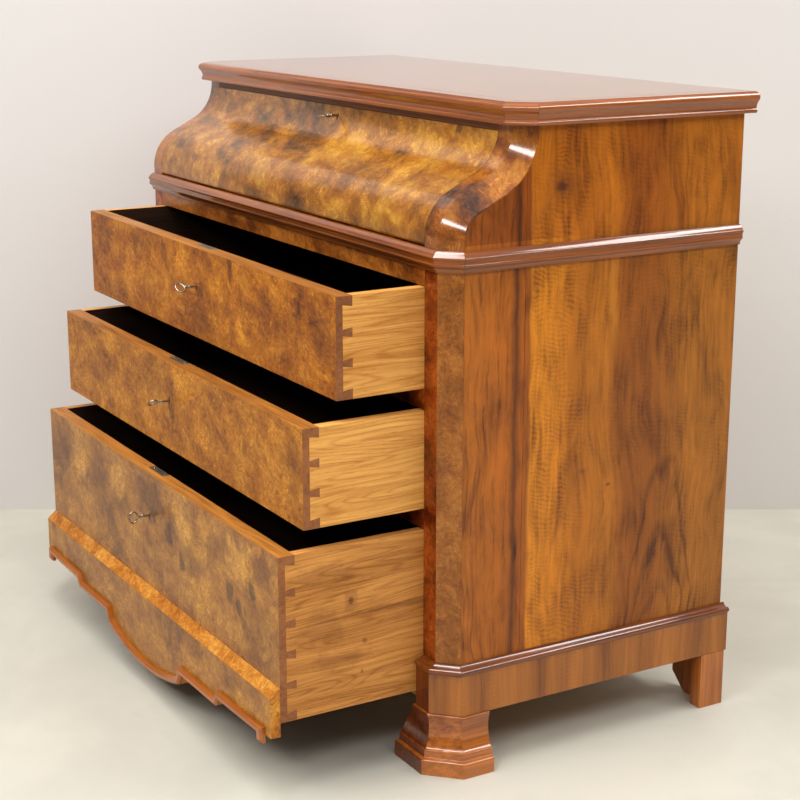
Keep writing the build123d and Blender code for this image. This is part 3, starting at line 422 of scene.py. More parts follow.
def sideMaterial():
    material, tree, shader = woodMaterial("figuredSide", 0.5, 0.45, 0.2)
    figure = sideFigure
    place = attribute(tree, "grain")
    slow = centred(tree, layer(tree, place, (3.2, 5.0, 1.0), 2.0), 0.075)
    quick = centred(tree, layer(tree, place, (14.0, 34.0, 1.0), 3.0), 0.012)
    parts = addNode(tree, "SeparateXYZ", {0: place})
    up, depth = parts.outputs[0], parts.outputs[1]
    fromSeam = calculate(tree, "ABSOLUTE", calculate(tree, "ADD", depth, -figure["seam"]))
    shifted = total(tree, depth, multiply(tree, slow, spread(tree, fromSeam, 0.0, 0.06)), quick)
    share = spread(tree, shifted, figure["from"], figure["to"], kind="LINEAR")
    length = figure["to"] - figure["from"]
    stripes = [((y - figure["from"]) / length, shade(*stripe)) for y, stripe in figure["stripes"]]
    colour = ramp(tree, share, stripes)
    grained = addNode(tree, "CombineXYZ", {0: up, 1: shifted, 2: 0.0}).outputs[0]
    clouds = layer(tree, grained, (8.0, 21.0, 1.0), 6.0, 0.62, 0.4)
    streaks = layer(tree, grained, (9.0, 150.0, 1.0), 4.0, 0.6)
    pores = layer(tree, grained, (60.0, 1000.0, 1.0), 1.0)
    # fiddle bars: strongest in the golden stripe, slanting and faint towards the back
    warp = layer(tree, grained, (15.0, 20.0, 1.0), 4.0, 0.6)
    wave = total(
        tree, multiply(tree, up, figure["bars"]), multiply(tree, depth, figure["barSlant"]),
        multiply(tree, warp, figure["barWarp"]),
    )
    golden = multiply(tree, spread(tree, shifted, -0.130, -0.115), spread(tree, shifted, 0.05, -0.045))
    behind = multiply(tree, spread(tree, shifted, -0.08, -0.02), 0.45)
    patches = spread(tree, layer(tree, place, (12.0, 26.0, 1.0), 5.0, 0.7), 0.36, 0.70)
    barMask = multiply(tree, calculate(tree, "MAXIMUM", golden, behind), patches)
    bars = multiply(tree, spread(tree, calculate(tree, "SINE", wave), -0.5, 1.0), barMask)
    # the arch of a plain-sawn leaf, low on the rear half
    fromMiddle = calculate(tree, "SUBTRACT", shifted, figure["archMiddle"])
    fromMiddle = calculate(tree, "DIVIDE", fromMiddle, figure["archWidth"])
    below = multiply(tree, calculate(tree, "SUBTRACT", figure["archTop"], up), figure["archLines"])
    arch = calculate(tree, "SUBTRACT", below, multiply(tree, fromMiddle, fromMiddle))
    archLine = calculate(tree, "PINGPONG", calculate(tree, "ADD", arch, centred(tree, clouds, 1.2)), 0.5)
    archMask = multiply(tree, spread(tree, arch, -0.15, 0.1), spread(tree, arch, 3.6, 1.6))
    # wavy dark lines on the front stile
    stileSway = centred(tree, layer(tree, place, (4.0, 9.0, 1.0), 3.0, 0.6), 0.07)
    stile = multiply(tree, total(tree, shifted, stileSway), figure["stileLines"])
    stile = spread(tree, calculate(tree, "PINGPONG", stile, 0.5), 0.33, 0.5)
    stile = multiply(tree, stile, spread(tree, shifted, -0.150, -0.165))
    darken = total(
        tree,
        multiply(tree, bars, 0.32),
        multiply(tree, multiply(tree, spread(tree, archLine, 0.26, 0.5), archMask), 0.36),
        multiply(tree, multiply(tree, stile, patches), 0.45),
        multiply(tree, spread(tree, pores, 0.38, 0.26), 0.28),
        centred(tree, streaks, -1.3), centred(tree, clouds, -1.9),
    )
    # Painted shade: the side above the waist darker and more orange, most at the front
    upperShadeMask = spread(tree, up, figure["upperFrom"] - 0.002, figure["upperFrom"])
    upperShadeTint = mixColour(tree, spread(tree, depth, -0.15, 0.05), figure["upperShadeFront"], figure["upperRear"])
    colour = mixColour(tree, upperShadeMask, colour, upperShadeTint, "MULTIPLY")
    for reach, tint in ((0.6, figure["shadow"]), (-0.4, figure["glow"])):
        colour = mixColour(tree, spread(tree, darken, 0.0, reach, kind="LINEAR"), colour, tint, "MULTIPLY")
    colour = markKnots(tree, colour, curl(tree, place, 0.03, 0.012), figure["knots"])
    polish(tree, shader, colour, streaks, 0.00025)
    return material


# Each burr's own place in the figure, and how much of each part it shows
figureInputs = ("Seed", "Mottle", "Grit", "Clouds", "Feather", "Plum", "Gold", "Eyes")
burrFigures = {
    "upper": (3.1, 0.9, 0.9, 0.7, 0.8, 0.45, 0.35, 0.5),
    "middle": (5.3, 0.9, 0.9, 0.6, 0.9, 0.35, 0.4, 0.35),
    "lower": (8.9, 0.7, 0.7, 0.6, 0.5, 0.75, 0.7, 0.6),
    "fall": (7.4, 1.0, 0.55, 1.9, 0.15, 0.8, 1.0, 0.6),
    "post": (12.7, 1.3, 0.7, 1.4, 0.4, 0.7, 0.6, 0.6),
    "cant": (21.3, 0.9, 0.9, 0.9, 0.3, 0.6, 0.3, 0.5),
    "strip": (17.9, 1.3, 1.3, 0.4, 0.4, 0.2, 0.3, 0.5),
}
patchTints = {
    "gold": (1.42, 1.55, 1.25), "dullGold": (1.55, 1.80, 1.95), "plum": (0.52, 0.47, 0.62),
    # the last tint darkens real stains and knots, and gives the painted shade of the keys at the keyholes
    "eye": (0.34, 0.34, 0.46), "stain": (0.40, 0.34, 0.34),
}


# Each mark: how far across and up its middle is, half its width and height, all in
# millimetres, and its strength
def marks(**kinds):
    return [
        ((x / 1000, up / 1000), (halfWidth / 1000, halfHeight / 1000), strength, patchTints[kind])
        for kind, rows in kinds.items() for x, up, halfWidth, halfHeight, strength in rows
    ]


upperPatches = marks(
    gold=[
        (96, 700, 90, 60, 0.55), (322, 750, 60, 40, 0.5), (198, 664, 90, 40, 0.5), (-47, 744, 50, 30, 0.4),
        (-300, 690, 60, 40, 0.35), (440, 650, 60, 30, 0.4),
    ],
    plum=[
        (-220, 765, 110, 35, 0.6), (-431, 745, 50, 40, 0.6), (455, 725, 50, 50, 0.6),
        (-380, 640, 80, 30, 0.45), (15, 650, 60, 30, 0.4), (260, 700, 30, 60, 0.35),
    ],
    stain=[
        (-132, 747, 20, 24, 0.7), (138, 756, 12, 24, 0.8), (389, 741, 10, 24, 0.8),
        # the last mark here is painted shade of the key at its keyhole, partly a real stain
        (-277, 741, 14, 18, 0.6), (10, 700, 14, 30, 0.5),
    ],
)
middlePatches = marks(
    gold=[
        (70, 560, 75, 50, 0.7), (156, 587, 60, 22, 0.6), (368, 540, 90, 45, 0.5), (88, 490, 80, 30, 0.4),
        (-300, 560, 70, 40, 0.35),
    ],
    plum=[
        (250, 590, 70, 22, 0.65), (194, 548, 35, 20, 0.6), (470, 510, 40, 60, 0.5),
        (-400, 575, 90, 30, 0.5), (-330, 500, 70, 35, 0.45), (-80, 540, 60, 50, 0.35),
    ],
    # the first mark here is painted shade of the key at its keyhole, partly a real stain
    stain=[(12, 495, 14, 34, 0.7), (290, 500, 10, 22, 0.5)],
)
lowerPatches = marks(
    dullGold=[
        (-354, 336, 40, 62, 0.8), (-151, 340, 48, 46, 0.85), (144, 346, 38, 72, 0.9),
        (363, 336, 58, 46, 0.95), (200, 225, 70, 40, 0.3), (-90, 250, 60, 40, 0.3),
        (330, 215, 80, 30, 0.35),
    ],
    plum=[
        (-458, 316, 60, 70, 0.75), (-255, 300, 60, 60, 0.65), (0, 350, 85, 46, 0.8),
        (172, 280, 50, 32, 0.6), (262, 322, 40, 46, 0.75), (459, 349, 44, 38, 0.8),
        (-190, 250, 70, 34, 0.5), (440, 255, 60, 50, 0.6), (204, 152, 60, 30, 0.5),
    ],
    eye=[
        (94, 302, 20, 17, 0.9), (134, 275, 14, 20, 0.85), (329, 274, 22, 20, 0.9), (422, 306, 12, 22, 0.85),
        (370, 262, 12, 18, 0.8),
    ],
    # painted shade of the key at its keyhole, partly a real stain
    stain=[(12, 316, 20, 19, 0.75)],
)
lowerSidePatches = marks(
    plum=[
        (-460, 262, 50, 34, 0.45), (-430, 205, 60, 20, 0.4), (-409, 299, 15, 21, 0.5),
        (-330, 275, 80, 6, 0.6), (-450, 350, 60, 18, 0.35),
    ],
    stain=[(-409, 298, 6, 8, 0.9), (-385, 228, 5, 5, 0.6), (-390, 178, 4, 6, 0.7)],
)
fallPatches = marks(
    stain=[(401, 1062, 13, 11, 1.0), (150, 1060, 30, 40, 0.35)],
)
# Burr finishes: dark, middle and light colour, figure, patches, roughness, gloss and its roughness
burrFinishes = {
    "upperBurr": ((98, 44, 5), (168, 95, 11), (212, 143, 38), "upper", upperPatches, 0.5, 0.3, 0.24),
    "middleBurr": ((104, 51, 10), (172, 103, 17), (216, 151, 46), "middle", middlePatches, 0.5, 0.32, 0.24),
    "lowerBurr": ((98, 56, 24), (168, 108, 40), (210, 150, 58), "lower", lowerPatches, 0.5, 0.5, 0.24),
    "fallBurr": ((74, 48, 18), (162, 98, 26), (214, 156, 56), "fall", fallPatches, 0.45, 0.85, 0.13),
    "ogeeBurr": ((70, 36, 14), (150, 82, 22), (204, 134, 46), "post", (), 0.4, 1.0, 0.12),
    "postRed": ((64, 20, 5), (140, 58, 12), (194, 98, 26), "post", (), 0.5, 0.6, 0.12),
    "postCant": ((104, 54, 16), (154, 90, 28), (190, 124, 54), "cant", (), 0.5, 0.5, 0.2),
    "friezeBurr": ((70, 28, 8), (150, 80, 22), (200, 122, 42), "post", (), 0.5, 0.5, 0.2),
    "stripBurr": ((140, 76, 20), (190, 116, 34), (224, 160, 66), "strip", (), 0.5, 0.3, 0.2),
}
# Long-grained finishes: light and dark colour, amounts of the grain's parts, roughness, gloss
# and its roughness, and where they differ from the rest the bump and the patches
grainInputs = ("Bands", "Streaks", "Lines", "Ripple", "Pores")
grainFinishes = {
    "crossWalnut": ((190, 114, 38), (104, 54, 16), (0.8, 0.5, 0.0, 0.3, 0.6), 0.45, 0.7, 0.14),
    "redMoulding": ((160, 84, 24), (82, 34, 8), (0.7, 0.9, 0.0, 0.0, 0.5), 0.4, 1.0, 0.08),
    "topMoulding": ((180, 100, 38), (112, 52, 16), (0.4, 0.8, 0.0, 0.0, 0.4), 0.4, 1.0, 0.08),
    "footWalnut": ((208, 122, 46), (122, 58, 18), (0.8, 0.9, 0.0, 0.0, 0.4), 0.4, 1.0, 0.07),
    # a darker copy of the foot wood: painted shade on the front faces of the front feet and plinth blocks
    "darkFoot": ((132, 62, 20), (72, 28, 8), (0.7, 0.8, 0.0, 0.0, 0.4), 0.4, 0.8, 0.1),
    "beadCherry": ((186, 106, 32), (132, 64, 14), (0.6, 0.8, 0.0, 0.0, 0.4), 0.4, 0.8, 0.09),
    "topWalnut": ((176, 108, 66), (122, 66, 36), (0.4, 0.6, 0.0, 0.2, 0.5), 0.35, 1.0, 0.035, 0.00005),
    "chestnut": ((255, 192, 104), (188, 120, 52), (0.4, 0.9, 0.6, 0.0, 1.0), 0.55, 0.15, 0.3),
    "darkChestnut": (
        (226, 158, 82), (150, 90, 38), (0.5, 0.9, 0.6, 0.0, 1.0), 0.55, 0.15, 0.3, 0.0003, lowerSidePatches),
    "edgeWood": ((192, 126, 54), (118, 66, 24), (0.7, 1.2, 0.0, 0.0, 0.5), 0.5, 0.2, 0.25),
    "endWood": ((172, 112, 70), (112, 66, 42), (0.4, 0.8, 0.0, 0.0, 0.6), 0.6, 0.1, 0.3),
    # painted shade: the near-black insides of the drawers, kept in shadow by the drawers above
    "drawerInside": ((62, 40, 28), (34, 22, 16), (0.4, 0.8, 0.0, 0.0, 0.6), 0.7, 0.0, 0.1),
    "innerWalnut": ((150, 92, 50), (88, 50, 28), (0.5, 0.7, 0.0, 0.0, 0.5), 0.5, 0.3, 0.2),
    "softwood": ((196, 156, 108), (146, 104, 66), (0.4, 0.9, 0.5, 0.0, 0.4), 0.8, 0.0, 0.1),
}
metalFinishes = {  # bright and tarnished colour, roughness
    "lockSteel": ((150, 146, 132), (104, 98, 84), 0.38),
    "keyIron": ((186, 176, 152), (104, 92, 72), 0.2),
    "hingeBrass": ((206, 168, 100), (150, 116, 62), 0.32),
    "nailIron": ((110, 102, 94), (72, 60, 52), 0.5),
}
finish = {"figuredSide": sideMaterial()}
for make, finishes in (
    (burrMaterial, burrFinishes), (grainMaterial, grainFinishes), (metalMaterial, metalFinishes),
):
    for name, row in finishes.items():
        finish[name] = make(name, *row)
print("materials made:", len(finish))


# Dressing: each wooden node is copied, its arrises are eased, and every board in it gets
# its own grain direction, place in the tree and tone
def pieceName(node):
    first, *rest = node.split("_")
    return first + "".join(word.title() for word in rest)


# The S-shaped line that the fall and the ogee posts share, in the Y-Z plane
ogee = {
    "foot": 0.80, "belly": 0.850, "hollow": 1.010, "head": 1.03,
    "frontY": -0.279, "setback": 0.130, "arcShare": 0.475,
}


def ogeeLine(count=48):
    radius = ogee["arcShare"] * (ogee["hollow"] - ogee["belly"])
    belly = Vector((ogee["frontY"] + radius, ogee["belly"]))
    hollow = Vector((ogee["frontY"] + ogee["setback"] - radius, ogee["hollow"]))
    along = hollow - belly
    tangent = math.atan2(along.y, along.x) + math.acos(2 * radius / along.length)
    line = [Vector((ogee["frontY"], ogee["foot"]))]
    for centre, start, bend in (
        (belly, math.pi, tangent - math.pi), (hollow, tangent - math.pi, math.pi - tangent),
    ):
        for step in range(count + 1):
            turn = start + bend * step / count
            line.append(centre + radius * Vector((math.cos(turn), math.sin(turn))))
    line.append(Vector((ogee["frontY"] + ogee["setback"], ogee["head"])))
    return line


def unroller():
    line = ogeeLine()
    lengths = [0.0]
    for first, second in zip(line, line[1:]):
        lengths.append(lengths[-1] + (second - first).length)

    def unroll(place):
        point = Vector((place.y, place.z))
        nearest = min(range(len(line)), key=lambda index: (line[index] - point).length_squared)
        return Vector((place.x, ogee["foot"] + lengths[nearest], (line[nearest] - point).length))
    return unroll


# How a place on a board becomes a place in its figure, for each way that grain can run
turns = {
    "x": lambda p: Vector((p.x, p.z, p.y)),
    "y": lambda p: Vector((p.y, p.z, p.x)),
    "z": lambda p: Vector((p.z, p.y, p.x)),
    "upright": lambda p: Vector((p.x + p.y, p.z, p.y - p.x)),
    "rising": lambda p: Vector(((p.x + p.y) / math.sqrt(2), p.z, (p.x - p.y) / math.sqrt(2))),
    "falling": lambda p: Vector(((p.x - p.y) / math.sqrt(2), p.z, (p.x + p.y) / math.sqrt(2))),
    "ogee": unroller(),
}
dressing = {"weld": 2e-6, "flatAngle": 0.01, "longestCant": 0.2}


def grainWay(low, high, way):
    if way != "strip":
        return way
    size = high - low
    if max(size.x, size.y) < dressing["longestCant"]:
        return "rising" if low.x > 0 else "falling"
    return "x" if size.x > size.y else "y"


def looseParts(work):
    unseen = set(work.verts)
    parts = []
    while unseen:
        wave = [unseen.pop()]
        part = set(wave)
        while wave:
            found = {edge.other_vert(vert) for vert in wave for edge in vert.link_edges} & unseen
            unseen -= found
            part |= found
            wave = list(found)
        parts.append(sorted(part, key=lambda vert: vert.index))
    return sorted(parts, key=lambda part: part[0].index)


# Puts the piece in its node's place, with sharp edges where it turns by more than the angle
def finishPiece(work, node, finishNames, smoothAngle, normals=None):
    for face in work.faces:
        face.smooth = True
    for edge in work.edges:
        edge.smooth = len(edge.link_faces) == 2 and edge.calc_face_angle(0) < smoothAngle
    mesh = bpy.data.meshes.new(pieceName(node))
    work.to_mesh(mesh)
    work.free()
    if normals:
        mesh.normals_split_custom_set(normals)
    for name in finishNames:
        mesh.materials.append(finish[name])
    piece = linkObject(pieceName(node), mesh)
    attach(piece, bodyOf[node])
    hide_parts(node)


# Corner normals weighted by face area keep broad faces flat right up to their eased arrises
def broadNormals(work, smoothAngle):
    weighted = {face: face.calc_area() * face.normal for face in work.faces}
    corners = []
    for face in work.faces:
        for loop in face.loops:
            near = [
                other for other in loop.vert.link_faces if other.normal.angle(face.normal, 0) < smoothAngle
            ]
            corners.append(sum((weighted[other] for other in near), weighted[face] * 0.001).normalized())
    return corners


# Which of a node's finishes a face takes, from its normal n and its middle c
choosers = {
    "only": lambda n, c: 0,
    "front": lambda n, c: 1 if abs(n.z) > 0.7 else 2 if abs(n.x) > 0.7 else 0 if n.y < 0 else 3,
    "side": lambda n, c: n.x * c.x < -0.01 or n.y < -0.9,
    "apron": lambda n, c: n.z > 0.3 or abs(n.x) > 0.7,
    "fall": lambda n, c: n.y >= 0 or n.z <= -0.7,
    # front faces of the front feet and plinth blocks, which take the painted shade copy of the foot wood
    "foot": lambda n, c: n.y < -0.6 and abs(n.x) < 0.4,
    "post": lambda n, c: n.y >= -0.9,
}


# A drift of 0 keeps a node's figure where the real piece has it
def dressNode(
    node, finishNames, way="strip", choose="only", arris=0.0008, rounds=2, smoothAngle=0.55, drift=3.0,
):
    work = bmesh.new()
    work.from_mesh(nodes[node].data)
    bmesh.ops.remove_doubles(work, verts=work.verts, dist=dressing["weld"])
    bmesh.ops.dissolve_limit(work, angle_limit=dressing["flatAngle"], verts=work.verts, edges=work.edges)
    sharp = [
        edge for edge in work.edges if len(edge.link_faces) == 2 and edge.calc_face_angle(0) > smoothAngle
    ]
    bmesh.ops.bevel(
        work, geom=sharp, offset=arris, segments=rounds, profile=0.5, affect="EDGES", clamp_overlap=True,
    )
    work.verts.index_update()
    grain = work.verts.layers.float_vector.new("grain")
    tone = work.verts.layers.float.new("tone")
    dice = random.Random(node)
    for part in looseParts(work):
        corners = [vert.co for vert in part]
        low = Vector([min(corner[axis] for corner in corners) for axis in range(3)])
        high = Vector([max(corner[axis] for corner in corners) for axis in range(3)])
        turn = turns[grainWay(low, high, way)]
        shift = drift * Vector([dice.uniform(-1, 1) for _ in range(3)])
        partTone = dice.uniform(-1, 1)
        for vert in part:
            vert[grain] = turn(vert.co) + shift
            vert[tone] = partTone
    for face in work.faces:
        face.material_index = int(choosers[choose](face.normal, face.calc_center_median()))
    finishPiece(work, node, finishNames, smoothAngle, broadNormals(work, smoothAngle))


# each drawer's inner faces, back and bottom take the near-black painted shade
for name in ("upper", "middle", "lower"):
    woods = [f"{name}Burr", "edgeWood", "endWood", "drawerInside"]
    dressNode(f"{name}_drawer_front", woods, "x", "front", drift=0.0)
    sideWood, sideDrift = ("darkChestnut", 0.0) if name == "lower" else ("chestnut", 3.0)
    dressNode(f"{name}_drawer_sides", [sideWood, "drawerInside"], "y", "side", drift=sideDrift)
    dressNode(f"{name}_drawer_back", ["drawerInside"], "x")
    dressNode(f"{name}_drawer_bottom", ["drawerInside"], "x")
dressNode("apron", ["lowerBurr", "stripBurr"], "x", "apron", drift=0.0)
dressNode("apron_bead", ["beadCherry"], "x", arris=0.0027, rounds=4)
dressNode("fall_panel", ["fallBurr", "innerWalnut"], "ogee", "fall", drift=0.0)
for side in ("left", "right"):
    dressNode(f"ogee_post_{side}", ["ogeeBurr"], "ogee")
    dressNode(f"corner_post_{side}", ["postRed", "postCant"], "upright", "post")
    dressNode(f"side_panel_{side}", ["figuredSide"], "z", drift=0.0)
    dressNode(f"front_foot_{side}", ["footWalnut", "darkFoot"], "y", "foot", arris=0.0016, rounds=3)
    dressNode(f"rear_foot_{side}", ["footWalnut"], "z")
    dressNode(f"small_drawer_{side}", ["innerWalnut"], "x")
dressNode("top_board", ["topWalnut"], "x")
for name, wood in (("top", "topMoulding"), ("waist", "redMoulding"), ("base", "redMoulding")):
    dressNode(f"{name}_moulding", [wood], arris=0.0006, smoothAngle=0.45)
dressNode("plinth_blocks", ["crossWalnut", "darkFoot"], "z", "foot")
dressNode("plinth_rails", ["crossWalnut"], "z")
dressNode("frieze_rail", ["friezeBurr"], "x")
dressNode("drawer_rails", ["postRed"], "x")
dressNode("top_rail", ["innerWalnut"], "x")
dressNode("back_boards", ["softwood"], "z", arris=0.0025)
for node in ("bottom_board", "drawer_runners", "drawer_guides", "drawer_stops"):
    dressNode(node, ["softwood"])
for node in ("compartment_floor", "compartment_sides", "gallery_case"):
    dressNode(node, ["innerWalnut"])
print("wooden pieces dressed")

metalPieces = {
    "lockSteel": [
        f"{name}_{part}" for name in ("upper", "middle", "lower", "fall") for part in ("lock", "bolt")
    ],
    "hingeBrass": ["fall_pivots", "fall_hinge_plates"],
}
for finishName, pieces in metalPieces.items():
    for node in pieces:
        dressNode(node, [finishName], "x", arris=0.0003)


# Turned work: rings of points about an axis along Y, closed at both ends
def turnedRings(work, profile, z, sides=28):
    rings = []
    for y, radius in profile:
        rings.append([work.verts.new((
            radius * math.cos(2 * math.pi * side / sides), y, z + radius * math.sin(2 * math.pi * side / sides),
        )) for side in range(sides)])
    for first, second in zip(rings, rings[1:]):
        for side in range(sides):
            following = (side + 1) % sides
            work.faces.new((first[side], second[side], second[following], first[following]))
    work.faces.new(rings[0])
    work.faces.new(rings[-1][::-1])


def boxInto(work, low, high):
    made = bmesh.ops.create_cube(work, size=1.0)["verts"]
    for vert in made:
        vert.co = [low[axis] + (vert.co[axis] + 0.5) * (high[axis] - low[axis]) for axis in range(3)]
    return made


def metalPiece(work, node, finishName):
    bmesh.ops.recalc_face_normals(work, faces=work.faces)
    finishPiece(work, node, [finishName], smoothAngle=0.7)


# Keys: a turned shank with collars, a bit at its tip and an oval bow of round wire
key = {
    "bowLength": 0.0185, "bowWidth": 0.0230, "bowSteps": 48, "wire": 0.00145, "wireSteps": 14,
    "neckFromBow": 0.001, "neck": ((-0.0012, 0.0016), (0.0, 0.0026)), "shank": 0.0023, "tipChamfer": 0.0006,
    "collar": 0.0036, "bead": 0.0033, "rings": ((0.0004, "bead"), (0.0042, "collar"), (0.0072, "bead")),
    "ringShape": ((0.0004, 0.86), (0.0011, 1.0), (0.0018, 0.86)), "ringLength": 0.0022, "pastFace": 0.004,
    "bitReach": 0.0068, "bitWidth": 0.0040, "bitThickness": 0.0018, "bitFromTip": 0.0005, "bitEase": 0.0002,
    "turns": {"upper": -52.0, "middle": 55.0, "lower": 4.0, "fall": 85.0},
}
jointOf = {joint["child"]: joint for joint in frame["joints"]}


def makeKey(name, angle):
    node = f"{name}_key"
    low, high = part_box(node)
    x, faceY, z = jointOf[node]["pos_m"]
    bowY = low.y + key["bowLength"] / 2
    neckY = low.y + key["bowLength"] - key["neckFromBow"]
    shank, chamfer = key["shank"], key["tipChamfer"]
    profile = [(neckY + along, size) for along, size in key["neck"]]
    for along, kind in key["rings"]:
        start = neckY + along
        profile.append((start, shank))
        profile += [(start + step, share * key[kind]) for step, share in key["ringShape"]]
        profile.append((start + key["ringLength"], shank))
    profile += [(faceY + key["pastFace"], shank), (high.y - chamfer, shank), (high.y, shank - chamfer)]
    work = bmesh.new()
    turnedRings(work, profile, z)
    steps, sides = key["bowSteps"], key["wireSteps"]
    halfLength, halfWidth = key["bowLength"] / 2 - key["wire"], key["bowWidth"] / 2 - key["wire"]
    rings = []
    for step in range(steps):
        turn = 2 * math.pi * step / steps
        centre = Vector((0, bowY + halfLength * math.cos(turn), z + halfWidth * math.sin(turn)))
        outward = Vector((0, math.cos(turn) / halfLength, math.sin(turn) / halfWidth)).normalized()
        ring = []
        for side in range(sides):
            around = 2 * math.pi * side / sides
            ring.append(work.verts.new(centre + key["wire"] * (
                math.cos(around) * outward + math.sin(around) * Vector((1, 0, 0)))))
        rings.append(ring)
    for step in range(steps):
        first, second = rings[step], rings[(step + 1) % steps]
        for side in range(sides):
            following = (side + 1) % sides
            work.faces.new((first[side], first[following], second[following], second[side]))
    bitEnd = high.y - key["bitFromTip"]
    bit = boxInto(
        work, (-key["bitThickness"] / 2, bitEnd - key["bitWidth"], z - key["bitReach"]),
        (key["bitThickness"] / 2, bitEnd, z),
    )
    edges = list({edge for vert in bit for edge in vert.link_edges})
    bmesh.ops.bevel(work, geom=edges, offset=key["bitEase"], segments=2, affect="EDGES")
    turned = Matrix.Rotation(math.radians(angle), 4, "Y") @ Matrix.Translation((0, 0, -z))
    bmesh.ops.transform(work, matrix=Matrix.Translation((x, 0, z)) @ turned, verts=work.verts)
    metalPiece(work, node, "keyIron")


for name, angle in key["turns"].items():
    makeKey(name, angle)
print("keys made")

# Knobs of the small drawers: turned brass, in shares of the knob's own length and radius
knobProfile = [
    (0.0, 0.30), (0.02, 0.56), (0.07, 0.82), (0.14, 0.97), (0.22, 1.0), (0.30, 0.95), (0.36, 0.80),
    (0.42, 0.50), (0.48, 0.42), (0.60, 0.44), (0.68, 0.62), (0.715, 0.66), (0.725, 0.44), (1.0, 0.44),
]
for side in ("left", "right"):
    node = f"small_drawer_knob_{side}"
    low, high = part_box(node)
    radius, centreX, centreZ = (high.x - low.x) / 2, (low.x + high.x) / 2, (low.z + high.z) / 2
    profile = [(low.y + share * (high.y - low.y), size * radius) for share, size in knobProfile]
    work = bmesh.new()
    turnedRings(work, profile, centreZ)
    bmesh.ops.translate(work, vec=(centreX, 0, 0), verts=work.verts)
    metalPiece(work, node, "hingeBrass")
print("knobs turned")

# Screws and nails: Geometry Nodes set one head on each point of a small mesh, facing along
# the point's own "facing" direction
fasteners = {
    "screw": {"Radius": 0.0026, "Depth": 0.0009, "Slot": 0.0006, "Seed": 4},
    "smallScrew": {"Radius": 0.0017, "Depth": 0.0006, "Slot": 0.0004, "Seed": 9},
    "nail": {"Radius": 0.0024, "Depth": 0.0008, "Slot": 0.0, "Seed": 2},
}


def makeHeadTree(name, slotted):
    tree = bpy.data.node_groups.new(name, "GeometryNodeTree")
    sockets = {
        "Geometry": "Geometry", "Radius": "Float", "Depth": "Float", "Slot": "Float",
        "Seed": "Int", "Material": "Material",
    }
    for label, kind in sockets.items():
        tree.interface.new_socket(label, in_out="INPUT", socket_type="NodeSocket" + kind)
    tree.interface.new_socket("Geometry", in_out="OUTPUT", socket_type="NodeSocketGeometry")
    given = tree.nodes.new("NodeGroupInput").outputs
    result = tree.nodes.new("NodeGroupOutput").inputs
    head = addNode(tree, "GeometryNodeMeshCone", {
        "Vertices": 20, "Radius Bottom": given["Radius"], "Radius Top": multiply(tree, given["Radius"], 0.82),
        "Depth": given["Depth"],
    }).outputs["Mesh"]
    if slotted:
        slotSize = addNode(tree, "CombineXYZ", {
            0: multiply(tree, given["Radius"], 3.0), 1: given["Slot"], 2: given["Depth"],
        }).outputs[0]
        slotBox = addNode(tree, "GeometryNodeMeshCube", {"Size": slotSize}).outputs["Mesh"]
        lift = addNode(tree, "CombineXYZ", {2: given["Depth"]}).outputs[0]
        lifted = addNode(tree, "GeometryNodeTransform", {"Geometry": slotBox, "Translation": lift})
        halves = {"Mesh 1": head, "Mesh 2": lifted.outputs[0]}
        head = addNode(tree, "GeometryNodeMeshBoolean", halves, operation="DIFFERENCE").outputs["Mesh"]
    facing = addNode(tree, "GeometryNodeInputNamedAttribute", {"Name": "facing"}, data_type="FLOAT_VECTOR")
    facing = facing.outputs["Attribute"]
    aligned = addNode(tree, "FunctionNodeAlignRotationToVector", {"Vector": facing}, axis="Z")
    chance = addNode(tree, "FunctionNodeRandomValue", {"Max": 3.1416, "Seed": given["Seed"]}, data_type="FLOAT")
    chance = next(output for output in chance.outputs if output.enabled)
    turned = addNode(tree, "FunctionNodeRotateRotation", {
        "Rotation": aligned.outputs[0], "Rotate By": addNode(tree, "CombineXYZ", {2: chance}).outputs[0],
    }, rotation_space="LOCAL")
    placed = addNode(tree, "GeometryNodeInstanceOnPoints", {
        "Points": given["Geometry"], "Instance": head, "Rotation": turned.outputs[0],
    })
    real = addNode(tree, "GeometryNodeRealizeInstances", {"Geometry": placed.outputs[0]})
    coated = addNode(tree, "GeometryNodeSetMaterial", {
        "Geometry": real.outputs[0], "Material": given["Material"],
    })
    tree.links.new(coated.outputs[0], result["Geometry"])
    return tree


headTrees = {True: makeHeadTree("screwHeads", True), False: makeHeadTree("nailHeads", False)}


def setHeads(name, kind, body, finishName, places):
    points = bpy.data.meshes.new(name + "Points")
    points.from_pydata([place for place, facing in places], [], [])
    facings = points.attributes.new("facing", "FLOAT_VECTOR", "POINT")
    facings.data.foreach_set("vector", [value for place, facing in places for value in facing])
    holder = linkObject(name + "Holder", points)
    modifier = holder.modifiers.new("heads", "NODES")
    sizes = fasteners[kind]
    modifier.node_group = headTrees[sizes["Slot"] > 0]
    for item in modifier.node_group.interface.items_tree:
        if item.in_out == "INPUT" and item.name in sizes:
            modifier[item.identifier] = sizes[item.name]
        elif item.in_out == "INPUT" and item.name == "Material":
            modifier[item.identifier] = finish[finishName]
    bpy.context.view_layer.update()
    mesh = bpy.data.meshes.new_from_object(holder.evaluated_get(bpy.context.evaluated_depsgraph_get()))
    bpy.data.objects.remove(holder)
    mesh.name = name
    piece = linkObject(name, mesh)
    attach(piece, body)


